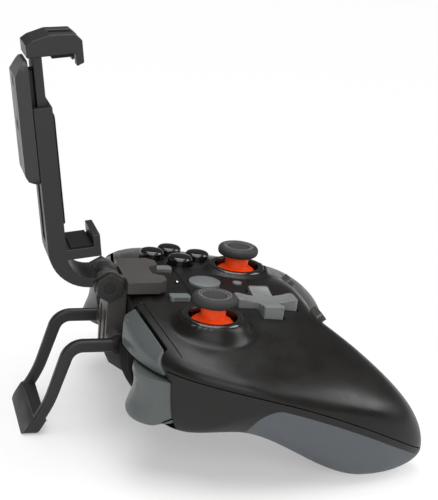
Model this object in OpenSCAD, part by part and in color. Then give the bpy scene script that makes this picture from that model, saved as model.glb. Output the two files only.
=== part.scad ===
// Mobile game controller with a phone clip and a fold-out stand.
// Millimetres. +X is the user's right, +Y points away from the user, +Z is up, z = 0 is the table.

/* [Body outline] */
// Width across the handles
body_w = 146; // [140:1:152]
// Front edge of the body
body_front = 35; // [34:0.5:36]
// Where the body is widest
widest_y = -18.5; // [-22:0.5:-15]
// Rear edge at the waist between the handles
waist_y = -46.4; // [-48:0.2:-45]
// Half width of the waist
waist_half = 19; // [17:0.5:21]
// Sideways place of each handle's centre line
handle_x = 54.6; // [53:0.2:56]
// Length of the body from its front edge to the tips of the handles
body_l = 108.78; // [105:0.02:112]

/* [Body heights] */
// Height of the shell seam at the origin
seam_z = 39; // [38:0.1:40]
// Height of the face at the origin
face_z = 53.2; // [52.6:0.1:54]
// Slope of the face towards the user, degrees
face_tilt = 1.5; // [0.5:0.5:2.5]
// Height of the handles above the seam
handle_rise = 26.2; // [25:0.2:28]
// Height of the flat belly above the table
belly_z = 17; // [14:0.5:19]
// Height of the finger hollow in front of each handle
hollow_z = 19.5; // [18:0.1:21]
// Place of the finger hollow
hollow_y = 1.8; // [0:0.2:4]
// Place of the point where the handles touch the table
heel_y = -49.4; // [-52:0.2:-47]

/* [Shells] */
// Wall of both shells
wall = 2.4; // [2:0.1:3]
// Open line between the two shells
seam_gap = 0.2; // [0.1:0.05:0.4]
// Thickness of the grip panels
grip_t = 2; // [1.6:0.1:2]
// Front end of the grip panels
grip_front = -12.5; // [-15:0.5:-10]
// Height of the grip panels' upper edge below the seam
grip_below_seam = 3; // [2.6:0.1:4]
// Inner edge of the grip panels
grip_in = 50; // [47:0.5:53]

/* [Thumbsticks] */
// Left stick, sideways
left_stick_x = -37.5; // [-39:0.1:-36]
// Left stick, forward
left_stick_y = 4.7; // [3:0.1:6]
// Right stick, sideways
right_stick_x = 18.4; // [17.4:0.1:20]
// Right stick, forward
right_stick_y = -19.8; // [-21:0.1:-18.6]
// Radius of the trim ring
ring_r = 11.4; // [11:0.1:12]
// Radius of the hole in the trim ring
ring_hole_r = 8.8; // [8.4:0.1:9.2]
// Radius of the dome under the stem
dome_r = 9; // [8.8:0.1:9.2]
// Radius of the stem's neck
neck_r = 4.5; // [4.2:0.1:4.6]
// Radius of the rubber cap
cap_r = 8; // [7.6:0.1:8.6]
// Depth of the stick's pivot below the face
pivot_depth = 6; // [5.6:0.1:6.4]
// Height of the cap's underside above the pivot
cap_low = 11.4; // [11:0.1:12]
// Height of the cap
cap_h = 3.8; // [3.6:0.1:4.4]

/* [Face buttons] */
// Direction pad, sideways
dpad_x = -18.9; // [-19.6:0.1:-18.4]
// Direction pad, forward
dpad_y = -20.8; // [-21.6:0.1:-20]
// Span of the direction pad
dpad_span = 23; // [20:0.5:25]
// Width of its arms
dpad_arm = 7.6; // [6:0.2:9]
// Height of its tips above the face
dpad_h = 2.9; // [2.4:0.1:3.4]
// Middle of the four round buttons, sideways
diamond_x = 34.4; // [33.4:0.1:35]
// Middle of the four round buttons, forward
diamond_y = 1.8; // [0.8:0.1:2.8]
// Distance of each round button from the middle
diamond_r = 9.5; // [9.2:0.1:10]
// Radius of the round buttons
dome_button_r = 4.85; // [4.4:0.05:5.1]
// Height of the round buttons above the face
dome_button_h = 2.8; // [2:0.1:3.4]
// Radius of the home button
home_r = 6.1; // [5:0.1:6.4]
// Forward place of the home button
home_y = -2; // [-3:0.1:-1]
// Sideways place of the view and menu buttons
pair_x = 15.6; // [14.6:0.1:16.6]
// Forward place of the view and menu buttons
pair_y = 11.4; // [10.8:0.1:11.8]
// Length of the view and menu buttons
pair_l = 7.6; // [6:0.2:8]
// Width of the view and menu buttons
pair_w = 4.6; // [4:0.2:6]
// Radius of the small program button
program_r = 1.8; // [1.4:0.1:2.2]
// Forward place of the program button
program_y = -15; // [-16:0.1:-14]
// Forward place of the status light
led_y = 8.8; // [8:0.1:9.6]
// Radius of the status light
led_r = 1; // [0.8:0.1:1.4]

/* [Bumpers and triggers] */
// Inner end of the bumpers
bumper_in = 21; // [20.6:0.1:23]
// Distance of the bumpers' outer end from the side of the body
bumper_end = 16.4; // [15.6:0.1:18]
// Lower edge of the bumpers
bumper_low = 39.6; // [39.2:0.1:40]
// Radius of the curve behind the bumpers, seen from above
bumper_line_r = 260; // [220:10:320]
// Forward place of that curve
bumper_line_y = 29.2; // [28.6:0.1:29.6]
// Sideways place of that curve's crown
bumper_line_x = -2; // [-6:1:2]
// Distance of the triggers' outer side from the side of the body
trigger_end = 15; // [14.4:0.1:17]
// Width of the triggers
trigger_w = 24.5; // [22:0.5:25]
// Trigger pivot, forward
trigger_y = 24.5; // [24:0.1:25]
// Trigger pivot, height
trigger_z = 34.9; // [34.5:0.1:35.1]
// Reach of the trigger's tip in front of its pivot
trigger_reach = 11.2; // [10:0.2:11.6]
// Length of the trigger below its pivot
trigger_drop = 15.4; // [14.4:0.2:15.8]
// Radius of the trigger pins
trigger_pin_r = 1.5; // [1.2:0.1:1.7]

/* [Rear controls] */
// Sideways place of the slide switch and of the bar button
rear_x = 18.5; // [14:0.5:20]
// Place of the rear controls on the rear edge
rear_y = -41.5; // [-42.2:0.1:-41]
// Lean of the rear edge there, degrees
rear_lean = 52; // [45:1:60]
// Length of the slide switch's slot
slot_l = 16; // [13:0.5:18]
// Length of the slide switch's knob
knob_l = 9; // [6:0.5:10]
// Height of the rear controls above the edge
rear_h = 2.4; // [1.6:0.1:3]
// Distance of the rear buttons from the side of the body
under_in = 27.6; // [26.8:0.1:28.4]
// Rear buttons under the handles, forward
under_y = 1; // [0:0.5:2]
// Length of the rear buttons
under_l = 15; // [12:0.5:17]
// Width of the rear buttons
under_w = 7; // [6:0.2:8]

/* [Inside] */
// Depth of the board's top below the face
board_depth = 12.6; // [12.4:0.1:12.8]
// Thickness of the board
board_t = 1.6; // [1:0.1:1.8]
// Length of the battery
battery_l = 47; // [36:1:48]
// Width of the battery
battery_w = 34; // [24:1:36]
// Thickness of the battery
battery_t = 9; // [6:0.5:10]
// Radius of the screw bosses
boss_r = 2.9; // [2.6:0.1:3.2]
// Radius of the screw heads
screw_head_r = 2; // [1.8:0.1:2.1]
// Radius of the screw shanks
screw_r = 1.1; // [0.9:0.05:1.2]

/* [Clip base] */
// Width of the top plate
plate_w = 28; // [26:0.5:29]
// Rear edge of the top plate
plate_rear = 15.6; // [15.2:0.1:16.6]
// Upper face of the top plate
plate_top = 58.4; // [58.2:0.1:59.2]
// Thickness of the top plate
plate_t = 4.4; // [4:0.1:4.5]
// Width of the column
column_w = 15.4; // [14.6:0.2:16]
// Rear face of the column
column_y = 29.7; // [29.6:0.05:30]
// Depth of the column
column_d = 7; // [6:0.2:8]
// Front face of the body behind the column
recess_y = 29.4; // [28.8:0.1:29.4]
// Half width of the recess for the clip and the stand
recess_half = 20.4; // [20:0.1:20.5]
// Clip hinge, forward
hinge_y = 36.6; // [36.2:0.1:37]
// Clip hinge, height
hinge_z = 55; // [54.6:0.1:56]
// Radius of the hinge knuckles
knuckle_r = 5.6; // [5:0.1:5.8]
// Radius of the hinge pin
hinge_pin_r = 2; // [1.6:0.1:2.4]

/* [Clip arm] */
// Lean of the clip away from the user, degrees
clip_lean = 8; // [0:1:12]
// Width of the spine
spine_w = 18.4; // [17.6:0.2:20]
// Distance of the spine's front face from the hinge
spine_in = 14.4; // [13.6:0.2:15.4]
// Depth of the spine
spine_d = 6.6; // [6.4:0.1:7]
// Upper end of the spine above the hinge
spine_top = 69.5; // [66:0.5:70]
// Upper face of the lower jaw above the hinge
shelf_v = 16.5; // [15.5:0.5:18]
// Thickness of the jaws' pads
pad_t = 1; // [0.8:0.1:1.4]
// Inner depth of the jaws
jaw_depth = 10; // [9:0.2:10.4]
// Thickness of the jaws' lips
lip_t = 2.6; // [2:0.1:3]
// Height of the jaws' lips
lip_h = 4.4; // [3:0.2:6]

/* [Clip slider] */
// Opening between the jaws as the clip stands
jaw_open = 70.5; // [68:0.5:74]
// Width of the slider's stem
stem_w = 14; // [12.6:0.2:14.2]
// Thickness of the slider's stem
stem_t = 3.2; // [2.8:0.1:3.2]
// Height of the upper jaw
jaw_h = 6.8; // [5:0.2:8]
// Gap between the two fingers
finger_gap = 6; // [4:0.2:7]
// Travel of the slider while closing
close_travel = 16; // [10:1:16]
// Height of the rear cover
cover_h = 44.5; // [40:0.5:44.5]
// Thickness of the rear cover
cover_t = 4.85; // [4:0.05:6]

/* [Stand] */
// Stand pivot, forward
stand_y = 33.4; // [33.2:0.1:33.8]
// Stand pivot, height
stand_z = 34.8; // [34.4:0.1:35.2]
// Width across the legs
stand_w = 34.4; // [33:0.2:36]
// Width of each leg
leg_w = 3.4; // [3:0.1:3.8]
// Depth of each leg
leg_d = 4.8; // [4:0.1:5.4]
// Level run from the pivot to the bend
leg_run = 12.9; // [11:0.1:14]
// Bend radius of the legs
bend_r = 6.6; // [6:0.2:9]
// Slope of the lower legs, degrees
leg_slope = 73; // [70:1:76]
// Height at which the legs kick outward
kick_z = 13; // [11:0.5:15]
// Slope of the legs below that height, degrees
kick_slope = 60; // [56:1:64]
// Height of the foot bar
foot_h = 7; // [6:0.5:9]
// Radius of the stand's pivot pin
stand_pin_r = 2; // [1.6:0.1:2.2]

/* [Fits] */
// Gap round moving buttons
button_gap = 0.4; // [0.3:0.05:0.5]
// Gap round the direction pad, which rocks
dpad_gap = 0.65; // [0.6:0.05:0.8]
// Gap round the bumpers
bumper_gap = 1.1; // [0.9:0.05:1.2]
// Gap round the triggers
trigger_gap = 0.6; // [0.4:0.05:0.8]
// Running fit of pins in bores
pin_fit = 0.05; // [0.02:0.01:0.1]
// Gap between fixed pieces that seat on each other
seat_gap = 0.1; // [0.05:0.05:0.15]
// Gap between sliding pieces of the clip
slide_gap = 0.3; // [0.2:0.05:0.4]

/* [Hidden] */
$fn = 48;

// Colours
shell_col = "#2b2826";
lower_col = "#333130";
grip_col = "#5d6468";
grey_col = "#7d8285";
orange_col = "#f0480c";
black_col = "#151515";
rubber_col = "#3a3a3a";
steel_col = "#b9bcc0";
board_col = "#1d5a36";
mat_col = "#606468";
cell_col = "#9aa0a6";
cover_col = "#26282a";

// Overlap of shapes joined in one piece, and the length by which a cut runs past a face
lap = 0.5;
past = 1;
far = 120;

// Body formulas: sections across the body at a distance a from the middle, shrunk by d
front_power = 3.6;
front_root = 2.5;
front_round = 8;
waist_round = 11;
tip_round = 6.8;
crown_power = 1.6;
heel_power = 2.2;
seam_slope = 0.203;
seam_bend = 0.0028;
soft_edge = 2.6;
belly_half = 24;
handle_in = 46;
half_w = body_w / 2;
tip_y = body_front - body_l;
bumper_out = half_w - bumper_end;
trigger_out = half_w - trigger_end;
trigger_in = trigger_out - trigger_w;
under_x = half_w - under_in;
face_slope = tan(face_tilt);

function smooth01(t) = let (u = min(max(t, 0), 1)) u * u * (3 - 2 * u);
function blend(p, q, t) = p + (q - p) * t;
function soft_min(p, q) = -soft_edge * ln(exp(-p / soft_edge) + exp(-q / soft_edge));
function seam_at(y) = seam_z + seam_slope * y - seam_bend * y * y;
function face_at(y) = face_z + face_slope * y;

function front_edge(a, d) =
    widest_y
    + (body_front - d - widest_y) * pow(max(1 - pow(a / (half_w - d), front_power), 0), 1 / front_root);

function rear_edge(a, d) =
    a < handle_x
    ? waist_y + d - (waist_y - tip_y) * smooth01((a - waist_half - d) / (handle_x - waist_half - d))
    : widest_y - (widest_y - tip_y - d)
        * sqrt(max(1 - pow((a - handle_x) / (half_w - d - handle_x), 2), 0));

function rear_round(a) =
    blend(waist_round, tip_round, smooth01((a - waist_half) / (handle_in - waist_half)));

// Share of the full height at the place s, which runs from 0 at the front edge to 1 at the rear edge
function fullness(a, s) =
    let (n = s < 0.5 ? front_round : rear_round(a))
    sqrt(max(1 - pow(abs(2 * s - 1), n), 0));

function crown(a, d) = sqrt(max(1 - pow(a / (half_w - d), crown_power), 0));

function heel_crown(a, d) =
    a < handle_x ? 1 : sqrt(max(1 - pow((a - handle_x) / (half_w - d - handle_x), heel_power), 0));

function share(a, d, y) = (front_edge(a, d) - y) / (front_edge(a, d) - rear_edge(a, d));

// The handles' underside is lowered so that its lowest point meets the table
heel_full = fullness(handle_x, share(handle_x, 0, heel_y));
heel_base = seam_at(heel_y) * (1 - 1 / heel_full);

function under_at(a, y) =
    blend(
        belly_z,
        blend(heel_base, hollow_z, smooth01((y - heel_y) / (hollow_y - heel_y))),
        smooth01((a - belly_half) / (handle_in - belly_half))
    );

function top_z(a, d, y) =
    seam_at(y)
    + max(soft_min(face_at(y) - seam_at(y), handle_rise) - d, 0) * crown(a, d) * fullness(a, share(a, d, y));

function low_z(a, d, y) =
    seam_at(y) - max(seam_at(y) - under_at(a, y) - d, 0) * heel_crown(a, d) * fullness(a, share(a, d, y));

function station(a, d, t) = blend(front_edge(a, d), rear_edge(a, d), (1 - cos(180 * t)) / 2);

// One section of the body as points [y, z]; part is "full", "upper" or "lower"
function section(a, d, n, part) =
    let (
        ys = [for (j = [0:n]) station(a, d, j / n)],
        over = [for (y = ys) [y, top_z(a, d, y)]],
        under = [for (y = ys) [y, low_z(a, d, y)]],
        line = [for (y = ys) [y, seam_at(y) - (part == "lower" ? seam_gap : 0)]]
    )
    part == "full" ? concat(over, [for (j = [n - 1:-1:1]) under[j]])
    : part == "upper" ? concat(over, [for (j = [n - 2:-2:2]) line[j]])
    : concat([for (j = [0, each [2:2:n - 2], n]) line[j]], [for (j = [n - 1:-1:1]) under[j]]);

// Section places, closer together towards the sides
side_power = 1.6;
side_end = 0.02;
function section_x(i, m, d) =
    let (u = 2 * i / m - 1) sign(u) * (half_w - d - side_end) * (1 - pow(1 - abs(u), side_power));

// Loft of the body shrunk by d, through the sections numbered first to m
module body_loft(d, m, n, part, first = 0) {
    xs = [for (i = [first:m]) section_x(i, m, d)];
    last = m - first;
    rings = [for (x = xs) section(abs(x), d, n, part)];
    k = len(rings[0]);
    points = [for (i = [0:last]) for (p = rings[i]) [xs[i], p[0], p[1]]];
    sides = [
        for (i = [0:last - 1]) for (j = [0:k - 1])
            each [
                [i * k + j, (i + 1) * k + j, i * k + (j + 1) % k],
                [i * k + (j + 1) % k, (i + 1) * k + j, (i + 1) * k + (j + 1) % k]
            ]
    ];
    caps = [[for (j = [0:k - 1]) j], [for (j = [k - 1:-1:0]) last * k + j]];
    polyhedron(points, concat(sides, caps));
}

// Right half of the same loft
module half_loft(d, m, n, part) {
    body_loft(d, m, n, part, m / 2);
}

// Counts of sections and of steps round each section
fine_sections = 48;
fine_steps = 16;
coarse_sections = 28;
coarse_steps = 10;

module left_and_right() {
    children();
    mirror([1, 0, 0]) children();
}

// Stands children on the face at a place, with their own z along the face's normal
module on_face(x, y) {
    translate([x, y, face_at(y)]) rotate([face_tilt, 0, 0]) children();
}

// Depth of the crowned skin below the flat face at a place
function sink(x, y) = face_at(y) - top_z(abs(x), 0, y);

// Rounded rectangle lying in the plane, from plain squares and circles
module round_rect(l, w, r) {
    square([l - 2 * r, w], center = true);
    square([l, w - 2 * r], center = true);
    for (i = [-1, 1]) for (j = [-1, 1])
        translate([i * (l / 2 - r), j * (w / 2 - r)]) circle(r = r);
}

// Prism across the body from points [y, z]
module across(w) {
    rotate([90, 0, 90]) linear_extrude(w, center = true) children();
}

// Points of an arc in n steps, from the step numbered first on
function arc(c, r, from, to, n, first = 0) =
    [for (i = [first:n]) let (t = blend(from, to, i / n)) [c[0] + r * cos(t), c[1] + r * sin(t)]];

// Spring wound up the z axis: one tube of six sides, eight rings a curl, with straight ends
turn = 360;
wire_sides = 6;
curl_rings = 8;
module coil(r, wire, h, curls) {
    rings = curls * curl_rings;
    body_h = h - 4 * wire;
    mid = concat(
        [[r, 0, 0]],
        [for (i = [0:rings])
            let (t = turn * i / curl_rings) [r * cos(t), r * sin(t), 2 * wire + body_h * i / rings]],
        [[r, 0, h]]
    );
    last = len(mid) - 1;
    ring = function(i)
        let (
            lead = i == 0 || i == last ? [0, 0, 1] : mid[min(i + 1, last - 1)] - mid[max(i - 1, 1)],
            out = [mid[i][0], mid[i][1], 0] / r,
            dir = lead / norm(lead),
            up = cross(dir, out)
        )
        [for (k = [0:wire_sides - 1])
            mid[i] + wire * (cos(turn * k / wire_sides) * out + sin(turn * k / wire_sides) * up)];
    points = [for (i = [0:last]) each ring(i)];
    n = wire_sides;
    sides = [
        for (i = [0:last - 1]) for (k = [0:n - 1])
            each [
                [i * n + k, i * n + (k + 1) % n, (i + 1) * n + k],
                [i * n + (k + 1) % n, (i + 1) * n + (k + 1) % n, (i + 1) * n + k]
            ]
    ];
    polyhedron(points, concat(sides, [[for (k = [n - 1:-1:0]) k], [for (k = [0:n - 1]) last * n + k]]));
    gaps = [for (i = [1:last - curl_rings - 1]) norm(mid[i + curl_rings] - mid[i]) - 2 * wire];
    echo("least gap of a coil to itself", min(gaps));
}

// Claw of the clip's base: where it leaves the column and where it ends under the belly
claw_up = 26;
claw_in = 19;
claw_t = 2;
claw_gap = 0.4;
claw_bend = 24.4;
below = -30;

// Rooms in the shells, each grown by e on every side
module front_recess(e) {
    across(2 * (recess_half + e))
        polygon([
            [recess_y - e, far],
            [recess_y - e, claw_up + e],
            [claw_bend - e, belly_z + e],
            [claw_bend - e, below],
            [far, below],
            [far, far]
        ]);
}

plate_low = plate_top - plate_t;
pocket_z = plate_low - seat_gap;

module plate_pocket(e) {
    translate([-plate_w / 2 - slide_gap - e, plate_rear - slide_gap - e, pocket_z - e])
        cube([plate_w + 2 * (slide_gap + e), far, far]);
}

// Block in front of the curve behind the bumpers, from the side place x and the height z up
line_y = bumper_line_y - bumper_line_r;
module bumper_block(x, z, e) {
    difference() {
        translate([x, 0, z]) cube([bumper_out + e - x, far, far]);
        translate([bumper_line_x, line_y, 0]) cylinder(r = bumper_line_r - e, h = 2 * far, $fn = 120);
    }
}

module bumper_room(e) {
    bumper_block(recess_half - past - e, bumper_low - e, e);
}

// Round room in which the trigger's rear side turns, low behind the hub and open to the front
trigger_floor = 8;
trigger_ledge = 1.5;
module trigger_room(e) {
    grow = trigger_gap + e;
    room_h = bumper_low - trigger_floor + lap;
    intersection() {
        translate([trigger_in - grow, 0, trigger_floor]) cube([trigger_w + 2 * grow, far, room_h]);
        union() {
            translate([0, trigger_y, trigger_z]) rotate([0, 90, 0]) cylinder(r = trigger_hub + grow, h = far);
            translate([0, trigger_y, 0]) cube(far);
            intersection() {
                translate([0, trigger_y, trigger_z]) rotate([0, 90, 0])
                    cylinder(r = trigger_drop + grow, h = far);
                cube([far, far, trigger_z + trigger_ledge + e]);
            }
        }
    }
}

module shell_cavity() {
    difference() {
        body_loft(wall, coarse_sections, coarse_steps, "full");
        front_recess(wall);
        plate_pocket(wall);
        left_and_right() {
            bumper_room(wall);
            trigger_room(wall);
            under_well(wall);
        }
        rear_well(wall);
    }
}

// Screws: places seen from above, by hand
screw_spots = [[24, 20.5], [42, -44]];
screw_gap = 0.1;
screw_seat = 8;
screw_l = 12;

function spot_low(p) = low_z(abs(p[0]), 0, p[1]);
function spot_top(p) = top_z(abs(p[0]), 0, p[1]);
function spot_seat(p) = seam_at(p[1]) - screw_seat;

module top_shell() {
    color(shell_col) difference() {
        union() {
            difference() {
                union() {
                    body_loft(0, fine_sections, fine_steps, "upper");
                    for (s = [[left_stick_x, left_stick_y], [right_stick_x, right_stick_y]])
                        on_face(s[0], s[1]) stick_collar();
                }
                shell_cavity();
            }
            for (p = screw_spots) left_and_right()
                translate([p[0], p[1], seam_at(p[1])])
                    cylinder(r = boss_r, h = spot_top(p) - wall / 2 - seam_at(p[1]));
        }
        front_recess(0);
        plate_pocket(0);
        left_and_right() bumper_room(0);
        for (s = [[left_stick_x, left_stick_y], [right_stick_x, right_stick_y]])
            on_face(s[0], s[1]) stick_hole();
        on_face(dpad_x, dpad_y) linear_extrude(far, center = true) dpad_outline(dpad_gap);
        for (i = [0:3]) on_face(diamond_spot(i)[0], diamond_spot(i)[1])
            cylinder(r = dome_button_r + button_gap, h = far / 2, center = true);
        for (i = [-1, 1]) on_face(i * pair_x, pair_y)
            linear_extrude(far / 2, center = true)
                round_rect(pair_w + 2 * button_gap, pair_l + 2 * button_gap, pair_round);
        on_face(0, home_y) cylinder(r = home_r + button_gap, h = far / 2, center = true);
        on_face(0, program_y) cylinder(r = program_r + button_gap, h = far / 2, center = true);
        on_face(0, led_y) cylinder(r = led_r + seat_gap, h = far / 2, center = true);
        for (p = screw_spots) left_and_right()
            translate([p[0], p[1], 0]) cylinder(r = screw_r + screw_gap, h = spot_seat(p) + screw_l + past);
        rear_well(0);
    }
}

module bottom_shell() {
    color(lower_col) difference() {
        union() {
            difference() {
                body_loft(0, fine_sections, fine_steps, "lower");
                shell_cavity();
                front_recess(0);
                left_and_right() {
                    bumper_room(0);
                    trigger_room(0);
                }
            }
            left_and_right() {
                trigger_ear();
                bumper_boss();
            }
            for (p = screw_spots) left_and_right()
                translate([p[0], p[1], spot_low(p) + past])
                    cylinder(r = boss_r, h = seam_at(p[1]) - seam_gap - spot_low(p) - past);
        }
        for (p = screw_spots) left_and_right() {
            translate([p[0], p[1], 0]) cylinder(r = screw_head_r + screw_gap, h = spot_seat(p));
            translate([p[0], p[1], 0]) cylinder(r = screw_r + screw_gap, h = far);
        }
        left_and_right() {
            grip_pocket();
            under_well(0);
            translate([0, trigger_y, trigger_z]) rotate([0, 90, 0])
                cylinder(r = trigger_pin_r, h = pin_end);
            translate([bumper_pin_x, bumper_pin_y, bumper_low - bumper_gap - pin_sink])
                cylinder(r = bumper_pin_r, h = far);
        }
        translate([port_x, recess_y, port_z])
            cube([port_w + 2 * seat_gap, far / 4, port_h + 2 * seat_gap], center = true);
        battery_block(seat_gap);
        translate([0, label_y, 0]) linear_extrude(belly_z + label_depth)
            round_rect(label_l, label_w, label_round);
    }
}

// Bare label field under the belly
label_y = -10;
label_l = 42;
label_w = 24;
label_round = 2;
label_depth = 0.4;

// Grip panels: skins let into the lower shell on the outer and under sides of the handles
grip_round = 10;
grip_points = 6;
module grip_zone(e) {
    last = tip_y - past;
    corner = [grip_front, seam_at(grip_front) - grip_below_seam - grip_round];
    translate([grip_in - e, 0, 0]) rotate([90, 0, 90]) linear_extrude(far) polygon(concat(
        [for (i = [0:grip_points - 1])
            let (y = blend(last, grip_front, i / grip_points)) [y, seam_at(y) - grip_below_seam + e]],
        arc(corner, grip_round + e, 90, 0, grip_points),
        [[grip_front + grip_round + e, below], [last, below]]
    ));
}

module grip_pocket() {
    difference() {
        grip_zone(seat_gap);
        half_loft(grip_t + seat_gap, coarse_sections, coarse_steps, "full");
    }
}

module grip() {
    color(grip_col) intersection() {
        difference() {
            half_loft(0, fine_sections, fine_steps, "lower");
            half_loft(grip_t, coarse_sections, coarse_steps, "full");
        }
        grip_zone(0);
    }
}
module left_grip() {
    mirror([1, 0, 0]) grip();
}
module right_grip() {
    grip();
}

// Thumbsticks. z runs along the face's normal from the face
collar_h = 0.7;
collar_root = 5.5;
collar_foot = 5;
collar_rim = 0.8;
ring_seat = -1.2;
ring_top = 1.3;
module stick_collar() {
    translate([0, 0, -collar_root])
        cylinder(r1 = ring_r + collar_foot, r2 = ring_r + collar_rim, h = collar_root + collar_h);
}

module stick_hole() {
    cylinder(r = dome_r + button_gap, h = far / 2, center = true);
    translate([0, 0, ring_seat]) cylinder(r = ring_r + seat_gap, h = far / 4);
}

ring_bevel = 1;
ring_ease = [0.7, 2.1];
ring_ease_turn = 30;
module stick_ring() {
    color(black_col) rotate_extrude() difference() {
        translate([ring_hole_r, ring_seat]) square([ring_r - ring_hole_r, ring_top - ring_seat]);
        translate([ring_r, ring_top]) rotate(45) square(ring_bevel, center = true);
        translate([ring_hole_r, ring_seat]) rotate(ring_ease_turn) square(ring_ease, center = true);
    }
}

module_w = 15;
module_wall = 1.1;
bearing_r = 1;
bearing_wall = 0.9;
module_top = 0.3;
module stick_module() {
    floor_z = pivot_depth - board_depth;
    color(steel_col) translate([0, 0, -pivot_depth]) difference() {
        union() {
            translate([-module_w / 2, -module_w / 2, floor_z])
                cube([module_w, module_w, -floor_z - module_top]);
            rotate([0, 90, 0]) cylinder(r = bearing_r + bearing_wall, h = module_w, center = true);
        }
        translate([module_wall - module_w / 2, module_wall - module_w / 2, floor_z + module_wall])
            cube([module_w - 2 * module_wall, module_w - 2 * module_wall, far]);
        rotate([0, 90, 0]) cylinder(r = bearing_r + pin_fit, h = far, center = true);
    }
}

yoke_r = 5.2;
yoke_wall = 1.2;
yoke_h = 3;
cross_pin_r = 0.9;
module stick_yoke() {
    color(black_col) translate([0, 0, -pivot_depth]) difference() {
        union() {
            cylinder(r = yoke_r, h = yoke_h, center = true);
            rotate([0, 90, 0]) cylinder(r = bearing_r, h = module_w, center = true);
        }
        cylinder(r = yoke_r - yoke_wall, h = far, center = true);
        rotate([90, 0, 0]) cylinder(r = cross_pin_r + pin_fit, h = far, center = true);
    }
}

post_r = 2;
post_low = -4;
post_top = 10;
cross_pin_in = 0.2;
module stick_post() {
    color(steel_col) translate([0, 0, -pivot_depth]) {
        translate([0, 0, post_low]) cylinder(r = post_r, h = post_top - post_low);
        rotate([90, 0, 0]) cylinder(r = cross_pin_r, h = 2 * (yoke_r - cross_pin_in), center = true);
    }
}

// Stem: dome that follows the hole, flared neck and a flange that carries the cap
dome_t = 1;
dome_steps = 14;
cap_floor = 0.6;
flange_z = cap_low + cap_floor;
dome_angle = 66;
flange_r = 5.6;
flange_h = 1.2;
socket_low = 5.2;
socket_wall = 1.4;
// The flare touches both the neck and the dome
flare_r = 1.5;
flare_steps = 8;
flare_z = sqrt(pow(dome_r + flare_r, 2) - pow(neck_r + flare_r, 2));
flare_turn = atan((neck_r + flare_r) / flare_z);
module stick_stem() {
    tube_r = post_r + socket_wall;
    inner_r = dome_r - dome_t;
    socket_r = post_r + pin_fit;
    socket_top = post_top + past;
    color(orange_col) translate([0, 0, -pivot_depth]) rotate_extrude() polygon(concat(
        [[0, socket_top], [socket_r, socket_top], [socket_r, socket_low], [tube_r, socket_low]],
        arc([0, 0], inner_r, acos(tube_r / inner_r), 90 - dome_angle, dome_steps),
        arc([0, 0], dome_r, 90 - dome_angle, 90 - flare_turn, dome_steps),
        arc([neck_r + flare_r, flare_z], flare_r, turn * 3 / 4 - flare_turn, turn / 2, flare_steps, 1),
        [[neck_r, flange_z], [flange_r, flange_z]],
        [[flange_r, flange_z + flange_h], [0, flange_z + flange_h]]
    ));
}

cap_dish = 1;
cap_edge = 1.5;
module stick_cap() {
    top = cap_low + cap_h;
    dish_r = (pow(cap_r - cap_edge, 2) + cap_dish * cap_dish) / (2 * cap_dish);
    color(rubber_col) translate([0, 0, -pivot_depth]) rotate_extrude() difference() {
        union() {
            translate([0, cap_low]) square([cap_r - cap_edge, cap_h]);
            translate([0, cap_low + cap_edge]) square([cap_r, cap_h - 2 * cap_edge]);
            translate([cap_r - cap_edge, cap_low + cap_edge]) circle(r = cap_edge);
            translate([cap_r - cap_edge, top - cap_edge]) circle(r = cap_edge);
        }
        translate([-cap_r, cap_low]) square([cap_r, cap_h]);
        translate([0, cap_low - past]) square([neck_r + seat_gap, 2 * past]);
        translate([0, flange_z - seat_gap]) square([flange_r + seat_gap, flange_h + 2 * seat_gap]);
        translate([0, top - cap_dish + dish_r]) circle(r = dish_r, $fn = 120);
    }
}

module at_left_stick() {
    on_face(left_stick_x, left_stick_y) children();
}
module at_right_stick() {
    on_face(right_stick_x, right_stick_y) children();
}
module left_stick_ring() {
    at_left_stick() stick_ring();
}
module right_stick_ring() {
    at_right_stick() stick_ring();
}
module left_stick_module() {
    at_left_stick() stick_module();
}
module right_stick_module() {
    at_right_stick() stick_module();
}
module left_stick_yoke() {
    at_left_stick() stick_yoke();
}
module right_stick_yoke() {
    at_right_stick() stick_yoke();
}
module left_stick_post() {
    at_left_stick() stick_post();
}
module right_stick_post() {
    at_right_stick() stick_post();
}
module left_stick_stem() {
    at_left_stick() stick_stem();
}
module right_stick_stem() {
    at_right_stick() stick_stem();
}
module left_stick_cap() {
    at_left_stick() stick_cap();
}
module right_stick_cap() {
    at_right_stick() stick_cap();
}

// Direction pad
dpad_round = 0.8;
dpad_dish_r = 34;
dpad_mid_h = 1.3;
dpad_low = -6.2;
dpad_flange_h = 1.2;
dpad_flange_r = 11;
module dpad_outline(e) {
    round_rect(dpad_span + 2 * e, dpad_arm + 2 * e, dpad_round);
    round_rect(dpad_arm + 2 * e, dpad_span + 2 * e, dpad_round);
}

dpad_sink = sink(dpad_x, dpad_y);
module on_pad() {
    on_face(dpad_x, dpad_y) translate([0, 0, -dpad_sink]) children();
}

module dpad() {
    color(grey_col) on_pad() {
        difference() {
            translate([0, 0, dpad_low + lap]) linear_extrude(dpad_h - dpad_low - lap) dpad_outline(0);
            translate([0, 0, dpad_mid_h + dpad_dish_r]) sphere(r = dpad_dish_r, $fn = 96);
        }
        translate([0, 0, dpad_low]) cylinder(r = dpad_flange_r, h = dpad_flange_h);
    }
}

rocker_top = -6.8;
rocker_low = -9.6;
rocker_r = 6;
rocker_disc_h = 1.2;
rocker_post_r = 2.5;
module dpad_rocker() {
    color(black_col) on_pad() {
        translate([0, 0, rocker_low]) cylinder(r = rocker_r, h = rocker_disc_h);
        translate([0, 0, rocker_low]) cylinder(r = rocker_post_r, h = rocker_top - rocker_low);
    }
}

// Round buttons: a crowned top on a guided skirt with a stop flange
button_low = -9.2;
stop_z = -5.6;
stop_h = 1;
stop_w = 1.1;
crown_h = 1.2;
function diamond_spot(i) = [diamond_x + diamond_r * sin(90 * i), diamond_y + diamond_r * cos(90 * i)];

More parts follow.
